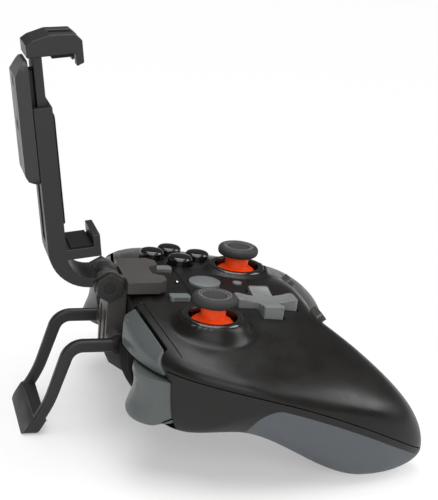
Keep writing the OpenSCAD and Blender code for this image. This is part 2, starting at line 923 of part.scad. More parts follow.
module domed(r, h, ch, stop) {
    ball = (r * r + ch * ch) / (2 * ch);
    rotate_extrude() {
        translate([0, button_low]) square([r, h - ch - button_low]);
        translate([0, stop]) square([r + stop_w, stop_h]);
        intersection() {
            translate([0, h - ball]) circle(r = ball, $fn = 96);
            translate([0, h - ch - lap]) square([r, ch + past]);
        }
    }
}

module round_button(i) {
    low = sink(diamond_spot(i)[0], diamond_spot(i)[1]);
    color(black_col) on_face(diamond_spot(i)[0], diamond_spot(i)[1])
        domed(dome_button_r, dome_button_h - low, crown_h, stop_z - low);
}
module y_button() {
    round_button(0);
}
module b_button() {
    round_button(1);
}
module a_button() {
    round_button(2);
}
module x_button() {
    round_button(3);
}

pair_round = 1.2;
pair_h = 1;
module pair_button(side) {
    low = sink(pair_x, pair_y);
    color(grey_col) on_face(side * pair_x, pair_y) {
        translate([0, 0, button_low]) linear_extrude(pair_h - low - button_low)
            round_rect(pair_w, pair_l, pair_round);
        translate([0, 0, stop_z - low]) linear_extrude(stop_h)
            round_rect(pair_w + stop_w, pair_l + stop_w, pair_round);
    }
}
module view_button() {
    pair_button(-1);
}
module menu_button() {
    pair_button(1);
}

home_h = 1.1;
module home_button() {
    color(grey_col) on_face(0, home_y) domed(home_r, home_h, home_h / 2, stop_z);
}

program_h = 0.6;
module program_button() {
    color(grey_col) on_face(0, program_y) domed(program_r, program_h, program_h / 2, stop_z);
}

led_h = 0.2;
module status_light() {
    color("white") on_face(0, led_y) translate([0, 0, led_h - board_depth + mat_t])
        cylinder(r = led_r, h = board_depth - mat_t);
}

// Bumpers: the front corners of the body cut free along a curve, turning on upright pins
bumper_pin_r = 1.5;
bumper_pin_in = 4;
bumper_pin_x = bumper_in + bumper_pin_in;
bumper_pin_back = 3.8;
bumper_pin_y = body_front - bumper_pin_back;
bumper_pin_h = 9;
pin_sink = 6;
bumper_boss_r = 2.9;
bumper_boss_in = 1;
bumper_boss_floor = 2;
module bumper() {
    color(grey_col) difference() {
        intersection() {
            half_loft(0, fine_sections, fine_steps, "full");
            bumper_block(bumper_in, bumper_low + bumper_gap / 2, -bumper_gap);
        }
        translate([bumper_pin_x, bumper_pin_y, 0])
            cylinder(r = bumper_pin_r + pin_fit, h = bumper_low + bumper_pin_h + lap);
    }
}
module left_bumper() {
    mirror([1, 0, 0]) bumper();
}
module right_bumper() {
    bumper();
}

module bumper_boss() {
    boss_h = pin_sink + bumper_boss_floor;
    translate([bumper_pin_x, bumper_pin_y - bumper_boss_in, bumper_low - bumper_gap - boss_h])
        cylinder(r = bumper_boss_r, h = boss_h);
}

module bumper_pins() {
    color(steel_col) left_and_right()
        translate([bumper_pin_x, bumper_pin_y, bumper_low - bumper_gap - pin_sink])
            cylinder(r = bumper_pin_r, h = bumper_gap + pin_sink + bumper_pin_h);
}

// Triggers: a side profile about the pivot, rounded in plan, hollow at the middle ear
ear_t = 2.8;
ear_mid = trigger_in + trigger_w / 2;
ear_r = 3.2;
ear_gap = 0.6;
module trigger_ear() {
    room_back = trigger_y - trigger_drop - trigger_gap;
    translate([ear_mid - ear_t / 2, 0, 0]) rotate([90, 0, 90]) linear_extrude(ear_t) {
        translate([trigger_y, trigger_z]) circle(r = ear_r);
        translate([room_back - wall / 2, trigger_z - ear_r])
            square([trigger_y - room_back + wall / 2, 2 * ear_r]);
    }
}

trigger_hub = 3.6;
trigger_skin = 1.8;
tip_z = -11.8;
tip_r = 1.2;
brow_in = 4;
brow_drop = 0.2;
dent_r = 10.4;
dent_out = 7.6;
dent_drop = 2;
dent_from = 152;
dent_to = 214;
dent_steps = 8;
hub_from = 150;
hub_steps = 5;
tip_from = 20;
tip_to = -50;
tip_steps = 4;
belly_from = -74;
belly_to = -140;
belly_steps = 12;
function trigger_outline() = concat(
    arc([0, 0], trigger_hub, hub_from, 90, hub_steps),
    [[trigger_reach - brow_in, trigger_hub - brow_drop]],
    arc([trigger_reach + dent_out, -dent_drop], dent_r, dent_from, dent_to, dent_steps),
    arc([trigger_reach - tip_r, tip_z], tip_r, tip_from, tip_to, tip_steps),
    arc([0, 0], trigger_drop, belly_from, belly_to, belly_steps)
);

plan_r = 40;
plan_shift = 3;
plan_lead = 0.2;
outer_round = 7;
outer_back = 2;
module trigger_plan() {
    front = trigger_y + trigger_reach + plan_lead;
    intersection() {
        translate([trigger_in + trigger_w / 2 - plan_shift, front - plan_r]) circle(r = plan_r, $fn = 120);
        translate([trigger_in, 0]) union() {
            square([trigger_w, front - outer_round - outer_back]);
            square([trigger_w - outer_round, front]);
            translate([trigger_w - outer_round, front - outer_round - outer_back]) circle(r = outer_round);
        }
    }
}

module trigger() {
    slot_x = ear_mid - ear_t / 2 - ear_gap;
    color(grey_col) difference() {
        intersection() {
            translate([trigger_in, trigger_y, trigger_z]) rotate([90, 0, 90])
                linear_extrude(trigger_w) polygon(trigger_outline());
            linear_extrude(far) trigger_plan();
        }
        translate([0, trigger_y, trigger_z]) rotate([0, 90, 0])
            cylinder(r = trigger_pin_r + pin_fit, h = pin_end + pin_room);
        intersection() {
            translate([slot_x, 0, 0]) cube([ear_t + 2 * ear_gap, trigger_y + ear_r + ear_gap, far]);
            translate([0, trigger_y, trigger_z]) rotate([0, 90, 0])
                cylinder(r = trigger_drop - trigger_skin, h = far);
        }
    }
}
module left_trigger() {
    mirror([1, 0, 0]) trigger();
}
module right_trigger() {
    trigger();
}

pin_past = 8;
pin_room = 0.4;
pin_end = ear_mid + pin_past;
module trigger_pins() {
    pin_start = trigger_in - trigger_gap - wall;
    color(steel_col) left_and_right()
        translate([pin_start, trigger_y, trigger_z]) rotate([0, 90, 0])
            cylinder(r = trigger_pin_r, h = pin_end - pin_start);
}

// Rear buttons in wells under the handles' roots
under_h = 1.6;
under_depth = 4;
under_travel = 1;
under_round = 3;
under_open = 6;
under_z = low_z(under_x, 0, under_y);
module under_well(e) {
    grow = 2 * (button_gap + e);
    translate([under_x, under_y, under_z - under_open - e])
        linear_extrude(under_open + under_depth + 2 * e)
            round_rect(under_w + grow, under_l + grow, under_round);
}

module rear_button() {
    color(black_col) translate([under_x, under_y, under_z - under_h])
        linear_extrude(under_h + under_depth - under_travel - button_gap)
            round_rect(under_w, under_l, under_round);
}
module left_rear_button() {
    mirror([1, 0, 0]) rear_button();
}
module right_rear_button() {
    rear_button();
}

// Rear edge: a slide switch in its slot on the left, a bar button on the right
slot_w = 4.4;
slot_depth = 3;
slot_open = 15;
bar_l = 7;
bar_travel = 1;
knob_round = 1;
module on_rear(x) {
    translate([x, rear_y, top_z(rear_x, 0, rear_y)]) rotate([rear_lean, 0, 0]) children();
}

module rear_well(e) {
    on_rear(-rear_x) translate([0, 0, -slot_depth - e])
        linear_extrude(slot_depth + e + slot_open)
            round_rect(slot_l + 2 * e, slot_w + 2 * e, knob_round);
    on_rear(rear_x) translate([0, 0, -slot_depth - e])
        linear_extrude(slot_depth + e + slot_open)
            round_rect(bar_l + 2 * (button_gap + e), slot_w + 2 * e, knob_round);
}

module slide_switch() {
    color(lower_col) on_rear(-rear_x) translate([0, 0, button_gap - slot_depth])
        linear_extrude(slot_depth + rear_h - button_gap)
            round_rect(knob_l, slot_w - 2 * button_gap, knob_round);
}

module bar_button() {
    color(lower_col) on_rear(rear_x) translate([0, 0, bar_travel + button_gap - slot_depth])
        linear_extrude(slot_depth + rear_h - bar_travel - button_gap)
            round_rect(bar_l, slot_w - 2 * button_gap, knob_round);
}

// Inside: board, mat, battery, charging port and screws
mat_t = 1;
mat_in = 2;
mat_gap = 1;
board_l = 66;
board_w = 45;
board_y = -8.5;
wing_l = 104;
wing_w = 25;
wing_y = 1.5;
board_round = 3;
board_gap = 0.6;
module board_outline(e) {
    difference() {
        union() {
            translate([0, board_y]) round_rect(board_l - 2 * e, board_w - 2 * e, board_round);
            translate([0, wing_y]) round_rect(wing_l - 2 * e, wing_w - 2 * e, board_round);
        }
        for (p = screw_spots) for (i = [-1, 1])
            translate([i * p[0], p[1] / cos(face_tilt) - board_depth * face_slope])
                circle(r = boss_r + board_gap + e);
    }
}

module main_board() {
    color(board_col) on_face(0, 0) translate([0, 0, -board_depth - board_t])
        linear_extrude(board_t) board_outline(0);
}

module button_mat() {
    color(mat_col) on_face(0, 0) translate([0, 0, -board_depth]) difference() {
        linear_extrude(mat_t) board_outline(mat_in);
        for (s = [[left_stick_x, left_stick_y], [right_stick_x, right_stick_y]])
            translate([s[0], s[1] / cos(face_tilt), mat_t])
                cube([module_w + 2 * mat_gap, module_w + 2 * mat_gap, far / 4], center = true);
    }
}

battery_y = -8;
battery_round = 3;
module battery_block(e) {
    translate([0, battery_y, belly_z + wall + seat_gap - e])
        linear_extrude(battery_t + 2 * e) round_rect(battery_l + 2 * e, battery_w + 2 * e, battery_round);
}

module battery() {
    color(cell_col) battery_block(0);
}

port_x = 13.5;
port_z = 28.4;
port_w = 9;
port_h = 3.3;
port_l = 7.4;
port_wall = 0.4;
port_round = 1.6;
port_back = 1;
module charging_port() {
    color(steel_col) translate([port_x, recess_y - port_l / 2, port_z]) rotate([90, 0, 0]) difference() {
        linear_extrude(port_l, center = true) round_rect(port_w, port_h, port_round);
        translate([0, 0, -port_back]) linear_extrude(port_l, center = true)
            round_rect(port_w - 2 * port_wall, port_h - 2 * port_wall, port_round - port_wall);
    }
}

head_h = 2;
module shell_screws() {
    color(steel_col) for (p = screw_spots) left_and_right() translate([p[0], p[1], spot_seat(p)]) {
        translate([0, 0, -head_h]) cylinder(r = screw_head_r, h = head_h);
        cylinder(r = screw_r, h = screw_l);
    }
}

// Clip base: plate on the body, column in front of it, hinge ears above and a claw below
ear_in = 4.7;
notch_top = 13;
notch_low = 7.4;
notch_d = 4;
corner_cut = 3;
boss_out = stand_w / 2 - leg_w - slide_gap;
stand_boss_r = 3.3;
hook_d = 4;
hook_drop = 6;
heel_in = 1.6;
heel_drop = 1.4;
heel_rise = 2;
rib_w = 3;
rib_d = 1;
rib_h = 16;
module clip_base() {
    front = column_y + column_d;
    plate_front = hinge_y - knuckle_r - slide_gap;
    claw_low = belly_z - claw_gap - claw_t;
    color(black_col) difference() {
        union() {
            translate([0, 0, plate_low]) linear_extrude(plate_t) polygon([
                [-plate_w / 2, plate_rear + corner_cut],
                [corner_cut - plate_w / 2, plate_rear],
                [-notch_top / 2, plate_rear],
                [-notch_low / 2, plate_rear + notch_d],
                [notch_low / 2, plate_rear + notch_d],
                [notch_top / 2, plate_rear],
                [plate_w / 2 - corner_cut, plate_rear],
                [plate_w / 2, plate_rear + corner_cut],
                [plate_w / 2, plate_front],
                [column_w / 2, plate_front],
                [column_w / 2, hinge_y],
                [-column_w / 2, hinge_y],
                [-column_w / 2, plate_front],
                [-plate_w / 2, plate_front]
            ]);
            across(column_w) polygon([
                [column_y, plate_low + past],
                [column_y, claw_up],
                [claw_bend + seat_gap, belly_z - claw_gap],
                [claw_in, belly_z - claw_gap],
                [claw_in, claw_low],
                [claw_bend, claw_low],
                [claw_bend + hook_d, claw_up - hook_drop],
                [front - heel_in, claw_up - heel_drop],
                [front, claw_up + heel_rise],
                [front, hinge_z],
                [hinge_y - knuckle_r, hinge_z]
            ]);
            translate([0, hinge_y, hinge_z]) rotate([0, 90, 0])
                cylinder(r = knuckle_r, h = column_w, center = true);
            translate([0, stand_y, stand_z]) rotate([0, 90, 0])
                cylinder(r = stand_boss_r, h = 2 * boss_out, center = true);
        }
        translate([0, hinge_y, hinge_z]) rotate([0, 90, 0]) {
            cylinder(r = knuckle_r + slide_gap, h = 2 * ear_in, center = true);
            cylinder(r = hinge_pin_r, h = far, center = true);
        }
        translate([-ear_in, hinge_y - knuckle_r, hinge_z]) cube([2 * ear_in, 4 * knuckle_r, far]);
        translate([-ear_in, hinge_y, hinge_z - knuckle_r - slide_gap]) cube([2 * ear_in, 4 * knuckle_r, far]);
        translate([0, stand_y, stand_z]) rotate([0, 90, 0])
            cylinder(r = stand_pin_r, h = far, center = true);
        for (i = [-1, 1]) translate([i * column_w / 4, front, claw_up + heel_rise + rib_h / 2])
            cube([rib_w, 2 * rib_d, rib_h], center = true);
    }
}

nut_t = 3;
nut_gap = 0.2;
module clip_hinge_pin() {
    color(steel_col) translate([0, hinge_y, hinge_z]) rotate([0, 90, 0])
        cylinder(r = hinge_pin_r, h = column_w + 2 * (nut_gap + nut_t), center = true);
}

module clip_hinge_nuts() {
    color(black_col) left_and_right()
        translate([column_w / 2 + nut_gap, hinge_y, hinge_z]) rotate([0, 90, 0]) difference() {
            cylinder(r = knuckle_r, h = nut_t, $fn = 6);
            translate([0, 0, -past]) cylinder(r = hinge_pin_r, h = far);
        }
}

// Clip arm in its own frame: origin on the hinge, y away from the user, z up the leaning spine
module clip_frame() {
    translate([0, hinge_y, hinge_z]) rotate([-clip_lean, 0, 0]) children();
}

arm_bend = 16.5;
arm_in = 5.5;
arm_step = 1;
arm_thin = 3.2;
arm_root = 2;
shelf_t = 3.8;
channel_floor = 2.5;
channel_low = shelf_v + channel_floor;
channel_wall = 1.4;
spine_out = spine_in + spine_d;
jaw_in = spine_in - jaw_depth - lip_t;
jaw_v = shelf_v + jaw_open;
slot_half = 3.6;
run_steps = 12;
module clip_arm() {
    run_r = spine_out - arm_in;
    inner_r = run_r - arm_thin - 2 * arm_step;
    color(black_col) clip_frame() difference() {
        union() {
            across(spine_w) polygon(concat(
                arc([arm_in, arm_bend], run_r, -90, 0, run_steps),
                [[spine_out, spine_top], [spine_in, spine_top], [spine_in, arm_bend - arm_step]],
                arc([spine_in - inner_r, arm_bend - 2 * arm_step], inner_r, 0, -90, run_steps),
                [[arm_in - arm_root, arm_bend - 2 * arm_step - inner_r]],
                [[arm_in - arm_root, arm_bend - run_r]]
            ));
            rotate([0, 90, 0]) cylinder(r = knuckle_r, h = 2 * (ear_in - slide_gap), center = true);
            translate([-spine_w / 2, jaw_in, shelf_v - shelf_t])
                cube([spine_w, spine_in + past - jaw_in, shelf_t]);
            translate([-spine_w / 2, jaw_in, shelf_v - shelf_t]) cube([spine_w, lip_t, shelf_t + lip_h]);
        }
        rotate([0, 90, 0]) cylinder(r = hinge_pin_r + pin_fit, h = far, center = true);
        for (i = [-1, 1]) translate([i * (ear_in - slide_gap + far / 2), 0, 0]) rotate([0, 90, 0])
            cylinder(r = knuckle_r + 2 * slide_gap, h = far, center = true);
        translate([-stem_w / 2 - slide_gap, spine_in + channel_wall, channel_low])
            cube([stem_w + 2 * slide_gap, stem_t + 2 * slide_gap, far]);
        translate([-slot_half, spine_out - spine_d / 2, channel_low]) cube([2 * slot_half, spine_d, far]);
    }
}

pad_in = 0.6;
module lower_jaw_pad() {
    color(rubber_col) clip_frame()
        translate([pad_in - spine_w / 2, jaw_in + lip_t + pad_in, shelf_v])
            cube([spine_w - 2 * pad_in, jaw_depth - 2 * pad_in - back_pad_t, pad_t]);
}

back_pad_t = 1;
back_pad_low = 25;
back_pad_w = 11;
back_pad_end = 4;
back_pad_round = 2;
module back_pad() {
    pad_l = spine_top - back_pad_end - back_pad_low;
    color(rubber_col) clip_frame() translate([0, spine_in, back_pad_low + pad_l / 2]) rotate([90, 0, 0])
        linear_extrude(back_pad_t) round_rect(back_pad_w, pad_l, back_pad_round);
}

// Pull spring in the channel; the stem's lower end leaves it room when the clip is closed
spring_r = 1;
spring_wire = 0.25;
spring_curls = 13;
spring_end = 0.3;
spring_closed = 2 * spring_wire * (spring_curls + 2) + 2 * spring_end;
stem_in = spine_in + channel_wall + slide_gap;
stem_low = channel_low + spring_closed + close_travel;
module clip_spring() {
    low = channel_low + spring_end;
    color(steel_col) clip_frame() translate([0, stem_in + stem_t / 2, low])
        coil(spring_r, spring_wire, stem_low - spring_end - low, spring_curls);
}

cover_low = 41.5;
boss_w = 6.4;
boss_up = 16;
boss_short = 20;
boss_low = cover_low + boss_up;
boss_h = cover_h - boss_short;
jaw_short = 1;
jaw_w = spine_w - jaw_short;
jaw_back = 0.4;
jaw_back_h = 4.4;
jaw_slope = 2;
jaw_slope_h = 5.8;
jaw_crown = 0.5;
jaw_crown_in = 1.5;
jaw_nose = 2.4;
lip_cut = 1;
finger_root = 2;
module clip_slider() {
    color(black_col) clip_frame() difference() {
        union() {
            translate([-stem_w / 2, stem_in, stem_low]) cube([stem_w, stem_t, jaw_v + past - stem_low]);
            translate([0, 0, jaw_v]) across(jaw_w) polygon([
                [spine_out + jaw_back, 0],
                [spine_out + jaw_back, jaw_back_h],
                [spine_out - jaw_slope, jaw_slope_h],
                [spine_in - jaw_crown_in, jaw_h + jaw_crown],
                [jaw_in + jaw_nose, jaw_h],
                [jaw_in, jaw_h - jaw_nose],
                [jaw_in, lip_cut - lip_h],
                [jaw_in + lip_t, -lip_h],
                [jaw_in + lip_t, 0]
            ]);
            translate([-boss_w / 2, stem_in, boss_low])
                cube([boss_w, cover_back - stem_in, boss_h]);
        }
        translate([-finger_gap / 2, -far / 2, jaw_v - far / 2])
            cube([finger_gap, far / 2 + spine_in - finger_root, far]);
        for (v = slider_screw_v) translate([0, 0, v]) rotate([-90, 0, 0]) cylinder(r = screw_r, h = far);
    }
}

slider_screw_up = [21, 37];
slider_screw_v = [for (up = slider_screw_up) cover_low + up];
cover_back = spine_out + slide_gap;
cover_foot_in = 1;
cover_foot_h = 2;
cover_foot_end = 4;
cover_head_h = 5;
cover_edge = 1.2;
cover_round = 3;
module slider_cover() {
    color(cover_col) clip_frame() difference() {
        intersection() {
            across(spine_w) polygon([
                [cover_back, cover_low],
                [cover_back + cover_t - cover_foot_in, cover_low + cover_foot_h],
                [cover_back + cover_t, cover_low + cover_foot_end],
                [cover_back + cover_t, cover_low + cover_h - cover_head_h],
                [cover_back + cover_edge, cover_low + cover_h],
                [cover_back, cover_low + cover_h]
            ]);
            translate([0, 0, cover_low + cover_h / 2]) rotate([90, 0, 0])
                linear_extrude(far, center = true) round_rect(spine_w, cover_h, cover_round);
        }
        for (v = slider_screw_v) translate([0, 0, v]) rotate([-90, 0, 0]) {
            cylinder(r = screw_r + screw_gap, h = far);
            translate([0, 0, cover_back + cover_t - head_h]) cylinder(r = screw_head_r + screw_gap, h = far);
        }
    }
}

head_sink = 0.4;
module slider_screws() {
    seat = cover_back + cover_t - head_h;
    color(steel_col) clip_frame() for (v = slider_screw_v) translate([0, 0, v]) rotate([-90, 0, 0]) {
        translate([0, 0, stem_in + seat_gap]) cylinder(r = screw_r, h = seat - stem_in - seat_gap);
        translate([0, 0, seat]) cylinder(r = screw_head_r, h = head_h - head_sink);
    }
}

module upper_jaw_pad() {
    finger_w = (jaw_w - finger_gap) / 2;
    color(rubber_col) clip_frame() left_and_right()
        translate([finger_gap / 2 + pad_in, jaw_in + lip_t + pad_in, jaw_v - pad_t])
            cube([finger_w - 2 * pad_in, jaw_depth - 2 * pad_in - back_pad_t, pad_t]);
}

// Stand: one bent strip with a window, so that two legs and a foot bar are left
eye_r = 3.2;
foot_cut = 3;
leg_end = 22;
bend_steps = 8;
stand_pin_past = 0.3;
module stand_strip() {
    half = leg_d / 2;
    bend = [stand_y + leg_run, stand_z - bend_r];
    edge = arc(bend, bend_r + half, 90, 90 - leg_slope, bend_steps);
    inner = arc(bend, bend_r - half, 90 - leg_slope, 90, bend_steps);
    // Where both sides of the strip kick outward, across the mitre
    fall = (edge[bend_steps][1] - kick_z) / tan(leg_slope);
    kick = [edge[bend_steps][0] + fall, kick_z];
    mitre = (leg_slope + kick_slope) / 2;
    back = [sin(mitre), cos(mitre)] * leg_d / cos((leg_slope - kick_slope) / 2);
    drop = [cos(kick_slope), -sin(kick_slope)] * leg_end;
    polygon(concat(
        [[stand_y, stand_z + half]],
        edge,
        [kick, kick + drop, kick - back + drop, kick - back],
        inner,
        [[stand_y, stand_z - half]]
    ));
}

module stand() {
    inside = stand_w / 2 - leg_w;
    color(black_col) difference() {
        union() {
            across(stand_w) stand_strip();
            translate([0, stand_y, stand_z]) rotate([0, 90, 0])
                cylinder(r = eye_r, h = stand_w, center = true);
        }
        rotate([90, 0, 0]) linear_extrude(3 * far, center = true) polygon([
            [-inside, far],
            [-inside, foot_h + foot_cut],
            [foot_cut - inside, foot_h],
            [inside - foot_cut, foot_h],
            [inside, foot_h + foot_cut],
            [inside, far]
        ]);
        translate([-far, -far, -far]) cube([2 * far, 3 * far, far]);
        translate([0, stand_y, stand_z]) rotate([0, 90, 0])
            cylinder(r = stand_pin_r + pin_fit, h = far, center = true);
    }
}

module stand_pin() {
    color(steel_col) translate([0, stand_y, stand_z]) rotate([0, 90, 0])
        cylinder(r = stand_pin_r, h = stand_w + 2 * stand_pin_past, center = true);
}

top_shell();
bottom_shell();
left_grip();
right_grip();
left_stick_ring();
right_stick_ring();
left_stick_module();
right_stick_module();
left_stick_yoke();
right_stick_yoke();
left_stick_post();
right_stick_post();
left_stick_stem();
right_stick_stem();
left_stick_cap();
right_stick_cap();
dpad();
dpad_rocker();
a_button();
b_button();
x_button();
y_button();
view_button();
menu_button();
home_button();
program_button();
status_light();
left_bumper();
right_bumper();
bumper_pins();
left_trigger();
right_trigger();
trigger_pins();
left_rear_button();
right_rear_button();
slide_switch();
bar_button();
main_board();
button_mat();
battery();
charging_port();
shell_screws();
clip_base();
clip_hinge_pin();
clip_hinge_nuts();
clip_arm();
lower_jaw_pad();
back_pad();
clip_spring();
clip_slider();
slider_cover();
upper_jaw_pad();
slider_screws();
stand();
stand_pin();
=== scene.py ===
"""Dressed scene of a handheld game controller with a clip and a fold-out stand.

Lengths are written in millimetres and become metres when a mesh is made. +X is the user's right,
+Y points away from the user, +Z is up, and z = 0 is the table.
"""

import logging
import math
from dataclasses import dataclass
from enum import Enum
from typing import Mapping, Sequence

import bpy
import numpy as np
from mathutils import Matrix, Vector


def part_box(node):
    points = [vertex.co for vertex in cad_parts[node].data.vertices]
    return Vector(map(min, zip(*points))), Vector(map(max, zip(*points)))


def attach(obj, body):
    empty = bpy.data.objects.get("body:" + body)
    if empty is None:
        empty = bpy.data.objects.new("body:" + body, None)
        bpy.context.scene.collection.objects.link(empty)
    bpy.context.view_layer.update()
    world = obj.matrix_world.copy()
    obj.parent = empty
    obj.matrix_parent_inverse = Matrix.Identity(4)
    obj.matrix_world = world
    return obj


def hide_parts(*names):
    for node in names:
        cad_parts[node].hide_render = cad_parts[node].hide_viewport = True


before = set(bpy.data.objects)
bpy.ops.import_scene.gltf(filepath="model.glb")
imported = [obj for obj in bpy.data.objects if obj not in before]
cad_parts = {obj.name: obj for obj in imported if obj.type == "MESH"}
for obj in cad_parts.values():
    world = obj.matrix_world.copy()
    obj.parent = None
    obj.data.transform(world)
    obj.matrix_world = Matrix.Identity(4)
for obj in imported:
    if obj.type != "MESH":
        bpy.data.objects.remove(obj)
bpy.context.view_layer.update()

LOG = logging.getLogger("game_pad")
SIDES = ("left", "right")
MM = 0.001
FAR = 120.0
DEEP = 12.0
HAIR = 0.01
Colour = tuple[float, float, float]
Point = tuple[float, float, float]
Span = tuple[float, float]


def smooth01(t: np.ndarray | float) -> np.ndarray:
    """Returns a smooth step of t from 0 to 1."""
    u = np.clip(t, 0, 1)
    return u * u * (3 - 2 * u)


def mix(p: np.ndarray | float, q: np.ndarray | float, t: np.ndarray | float) -> np.ndarray:
    """Returns the point the share t on the way from p to q."""
    return p + (q - p) * t


def arc(centre: Sequence[float], radius: float, start: float, end: float, steps: int) -> np.ndarray:
    """Points of a circle's arc in a plane.

    Args:
        centre: The circle's middle.
        radius: The circle's radius.
        start: The first angle in degrees.
        end: The last angle in degrees.
        steps: How many steps the arc has.

    Returns:
        An array of steps + 1 points.
    """
    turn = np.radians(np.linspace(start, end, steps + 1))
    return np.stack([centre[0] + radius * np.cos(turn), centre[1] + radius * np.sin(turn)], axis=1)


def circle(centre: Sequence[float], radius: float, steps: int) -> np.ndarray:
    """Returns the points of a whole circle, without a double end."""
    return arc(centre, radius, 0, 360, steps)[:-1]


def round_rect(length: float, width: float, radius: float, steps: int = 8) -> np.ndarray:
    """Outline of a rectangle with round corners about the origin.

    Args:
        length: The size along the first axis.
        width: The size along the second axis.
        radius: The corners' radius.
        steps: Steps of each corner.

    Returns:
        The outline's points, anticlockwise.
    """
    x, y = length / 2 - radius, width / 2 - radius
    corners = [(x, y, 0), (-x, y, 90), (-x, -y, 180), (x, -y, 270)]
    return np.concatenate([arc((cx, cy), radius, a, a + 90, steps) for cx, cy, a in corners])


def at(origin: Sequence[float], turn_x: float = 0.0) -> Matrix:
    """Returns the frame that stands at a point and is turned about X by degrees."""
    return Matrix.Translation(Vector(origin)) @ Matrix.Rotation(math.radians(turn_x), 4, "X")


class Cut(Enum):
    """Ways in which one solid works on another."""

    AWAY = "DIFFERENCE"
    KEEP = "INTERSECT"
    JOIN = "UNION"


class Solid:
    """Closed mesh in the making, in millimetres."""

    def __init__(self, points: np.ndarray, faces: list[tuple[int, ...]]) -> None:
        """Keeps the points and the faces that join them."""
        self.points = np.asarray(points, float)
        self.faces = faces

    @staticmethod
    def bands(rows: int, count: int) -> list[tuple[int, ...]]:
        """Returns the faces between rows of closed rings with count points each."""
        return [
            (i * count + j, i * count + k, (i + 1) * count + k, (i + 1) * count + j)
            for i in range(rows - 1)
            for j, k in ((j, (j + 1) % count) for j in range(count))
        ]

    @classmethod
    def loft(cls, rings: Sequence[np.ndarray]) -> "Solid":
        """Skin over closed rings of the same count, with flat ends.

        Args:
            rings: The rings in order, each an array of points.

        Returns:
            The closed solid.
        """
        count, last = len(rings[0]), (len(rings) - 1) * len(rings[0])
        ends = [tuple(range(count - 1, -1, -1)), tuple(range(last, last + count))]
        return cls(np.concatenate(rings), cls.bands(len(rings), count) + ends)

    @classmethod
    def prism(cls, outline: np.ndarray, low: float, high: float) -> "Solid":
        """Returns an outline in the plane drawn out along z from low to high."""
        return cls.loft([np.column_stack([outline, np.full(len(outline), z)]) for z in (low, high)])

    @classmethod
    def across(cls, outline: np.ndarray, half: float, middle: float = 0.0) -> "Solid":
        """Returns an outline of (y, z) points drawn out across the body, half to each side of the middle."""
        rings = [np.column_stack([np.full(len(outline), x), outline]) for x in (middle - half, middle + half)]
        return cls.loft(rings)

    @classmethod
    def lathe(cls, profile: np.ndarray, steps: int = 96) -> "Solid":
        """Profile turned about the z axis.

        Args:
            profile: Points (radius, z) that start and end on the axis.
            steps: Steps round the axis.

        Returns:
            The closed solid.
        """
        turn = np.linspace(0, 2 * np.pi, steps, endpoint=False)
        inner = profile[1:-1]
        rings = [np.column_stack([r * np.cos(turn), r * np.sin(turn), np.full(steps, z)]) for r, z in inner]
        points = np.concatenate([*rings, [[0, 0, profile[0][1]], [0, 0, profile[-1][1]]]])
        foot, head, last = len(points) - 2, len(points) - 1, (len(inner) - 1) * steps
        faces = cls.bands(len(inner), steps)
        for j in range(steps):
            k = (j + 1) % steps
            faces += [(foot, k, j), (last + j, last + k, head)]
        return cls(points, faces)

    @classmethod
    def pillow(cls, upper: np.ndarray, lower: np.ndarray) -> "Solid":
        """Two index-matched sheets that meet along their whole border.

        Args:
            upper: Grid of points of the upper sheet.
            lower: Grid of points of the lower sheet; its border isn't used.

        Returns:
            The closed solid.
        """
        rows, cols = upper.shape[:2]
        top = np.arange(rows * cols).reshape(rows, cols)
        low = top.copy()
        low[1:-1, 1:-1] = rows * cols + np.arange((rows - 2) * (cols - 2)).reshape(rows - 2, cols - 2)
        points = np.concatenate([upper.reshape(-1, 3), lower[1:-1, 1:-1].reshape(-1, 3)])
        faces = []
        for sheet, flip in ((top, False), (low, True)):
            quads = np.stack([sheet[:-1, :-1], sheet[:-1, 1:], sheet[1:, 1:], sheet[1:, :-1]], axis=-1)
            quads = quads.reshape(-1, 4)
            faces.extend(map(tuple, (quads[:, ::-1] if flip else quads).tolist()))
        return cls(points, faces)

    @classmethod
    def bar(cls, path: np.ndarray, middle: float, width: float, depth: np.ndarray, radius: float) -> "Solid":
        """Bar of rounded section along a path in a plane across x.

        Args:
            path: The (y, z) points of the bar's middle line.
            middle: The bar's side place.
            width: Its size along x.
            depth: Its size across the path at each point.
            radius: The round of its long edges.

        Returns:
            The closed bar.
        """
        lead = np.gradient(path, axis=0)
        lead /= np.linalg.norm(lead, axis=1)[:, None]
        side = np.column_stack([-lead[:, 1], lead[:, 0]])
        rings = []
        for point, normal, deep in zip(path, side, depth):
            section = round_rect(width, float(deep), radius, 6)
            rings.append(np.column_stack([section[:, 0] + middle, point + section[:, 1:] * normal]))
        return cls.loft(rings)

    @classmethod
    def taken(cls, piece: bpy.types.Object) -> "Solid":
        """Returns a piece's mesh as a solid and removes the piece."""
        mesh = piece.data
        solid = cls(np.array([v.co for v in mesh.vertices]) / MM, [tuple(p.vertices) for p in mesh.polygons])
        bpy.data.meshes.remove(mesh)
        return solid

    def moved(self, matrix: Matrix) -> "Solid":
        """Returns the solid in another frame."""
        turn = np.array(matrix)
        return Solid(self.points @ turn[:3, :3].T + turn[:3, 3], self.faces)

    def mirrored(self) -> "Solid":
        """Returns the solid on the body's other side."""
        return Solid(self.points * (-1, 1, 1), [face[::-1] for face in self.faces])

    def piece(self, name: str) -> bpy.types.Object:
        """Object of this solid with its faces turned outwards.

        Args:
            name: The object's name.

        Returns:
            The new object, linked to the scene.
        """
        mesh = bpy.data.meshes.new(name)
        mesh.from_pydata((self.points * MM).tolist(), [], self.faces)
        mesh.validate()
        mesh.calc_loop_triangles()
        indices = np.empty(len(mesh.loop_triangles) * 3, np.int32)
        mesh.loop_triangles.foreach_get("vertices", indices)
        a, b, c = (self.points[indices[i::3]] for i in range(3))
        if np.einsum("ij,ij->", a, np.cross(b, c)) < 0:
            mesh.flip_normals()
        obj = bpy.data.objects.new(name, mesh)
        bpy.context.scene.collection.objects.link(obj)
        return obj


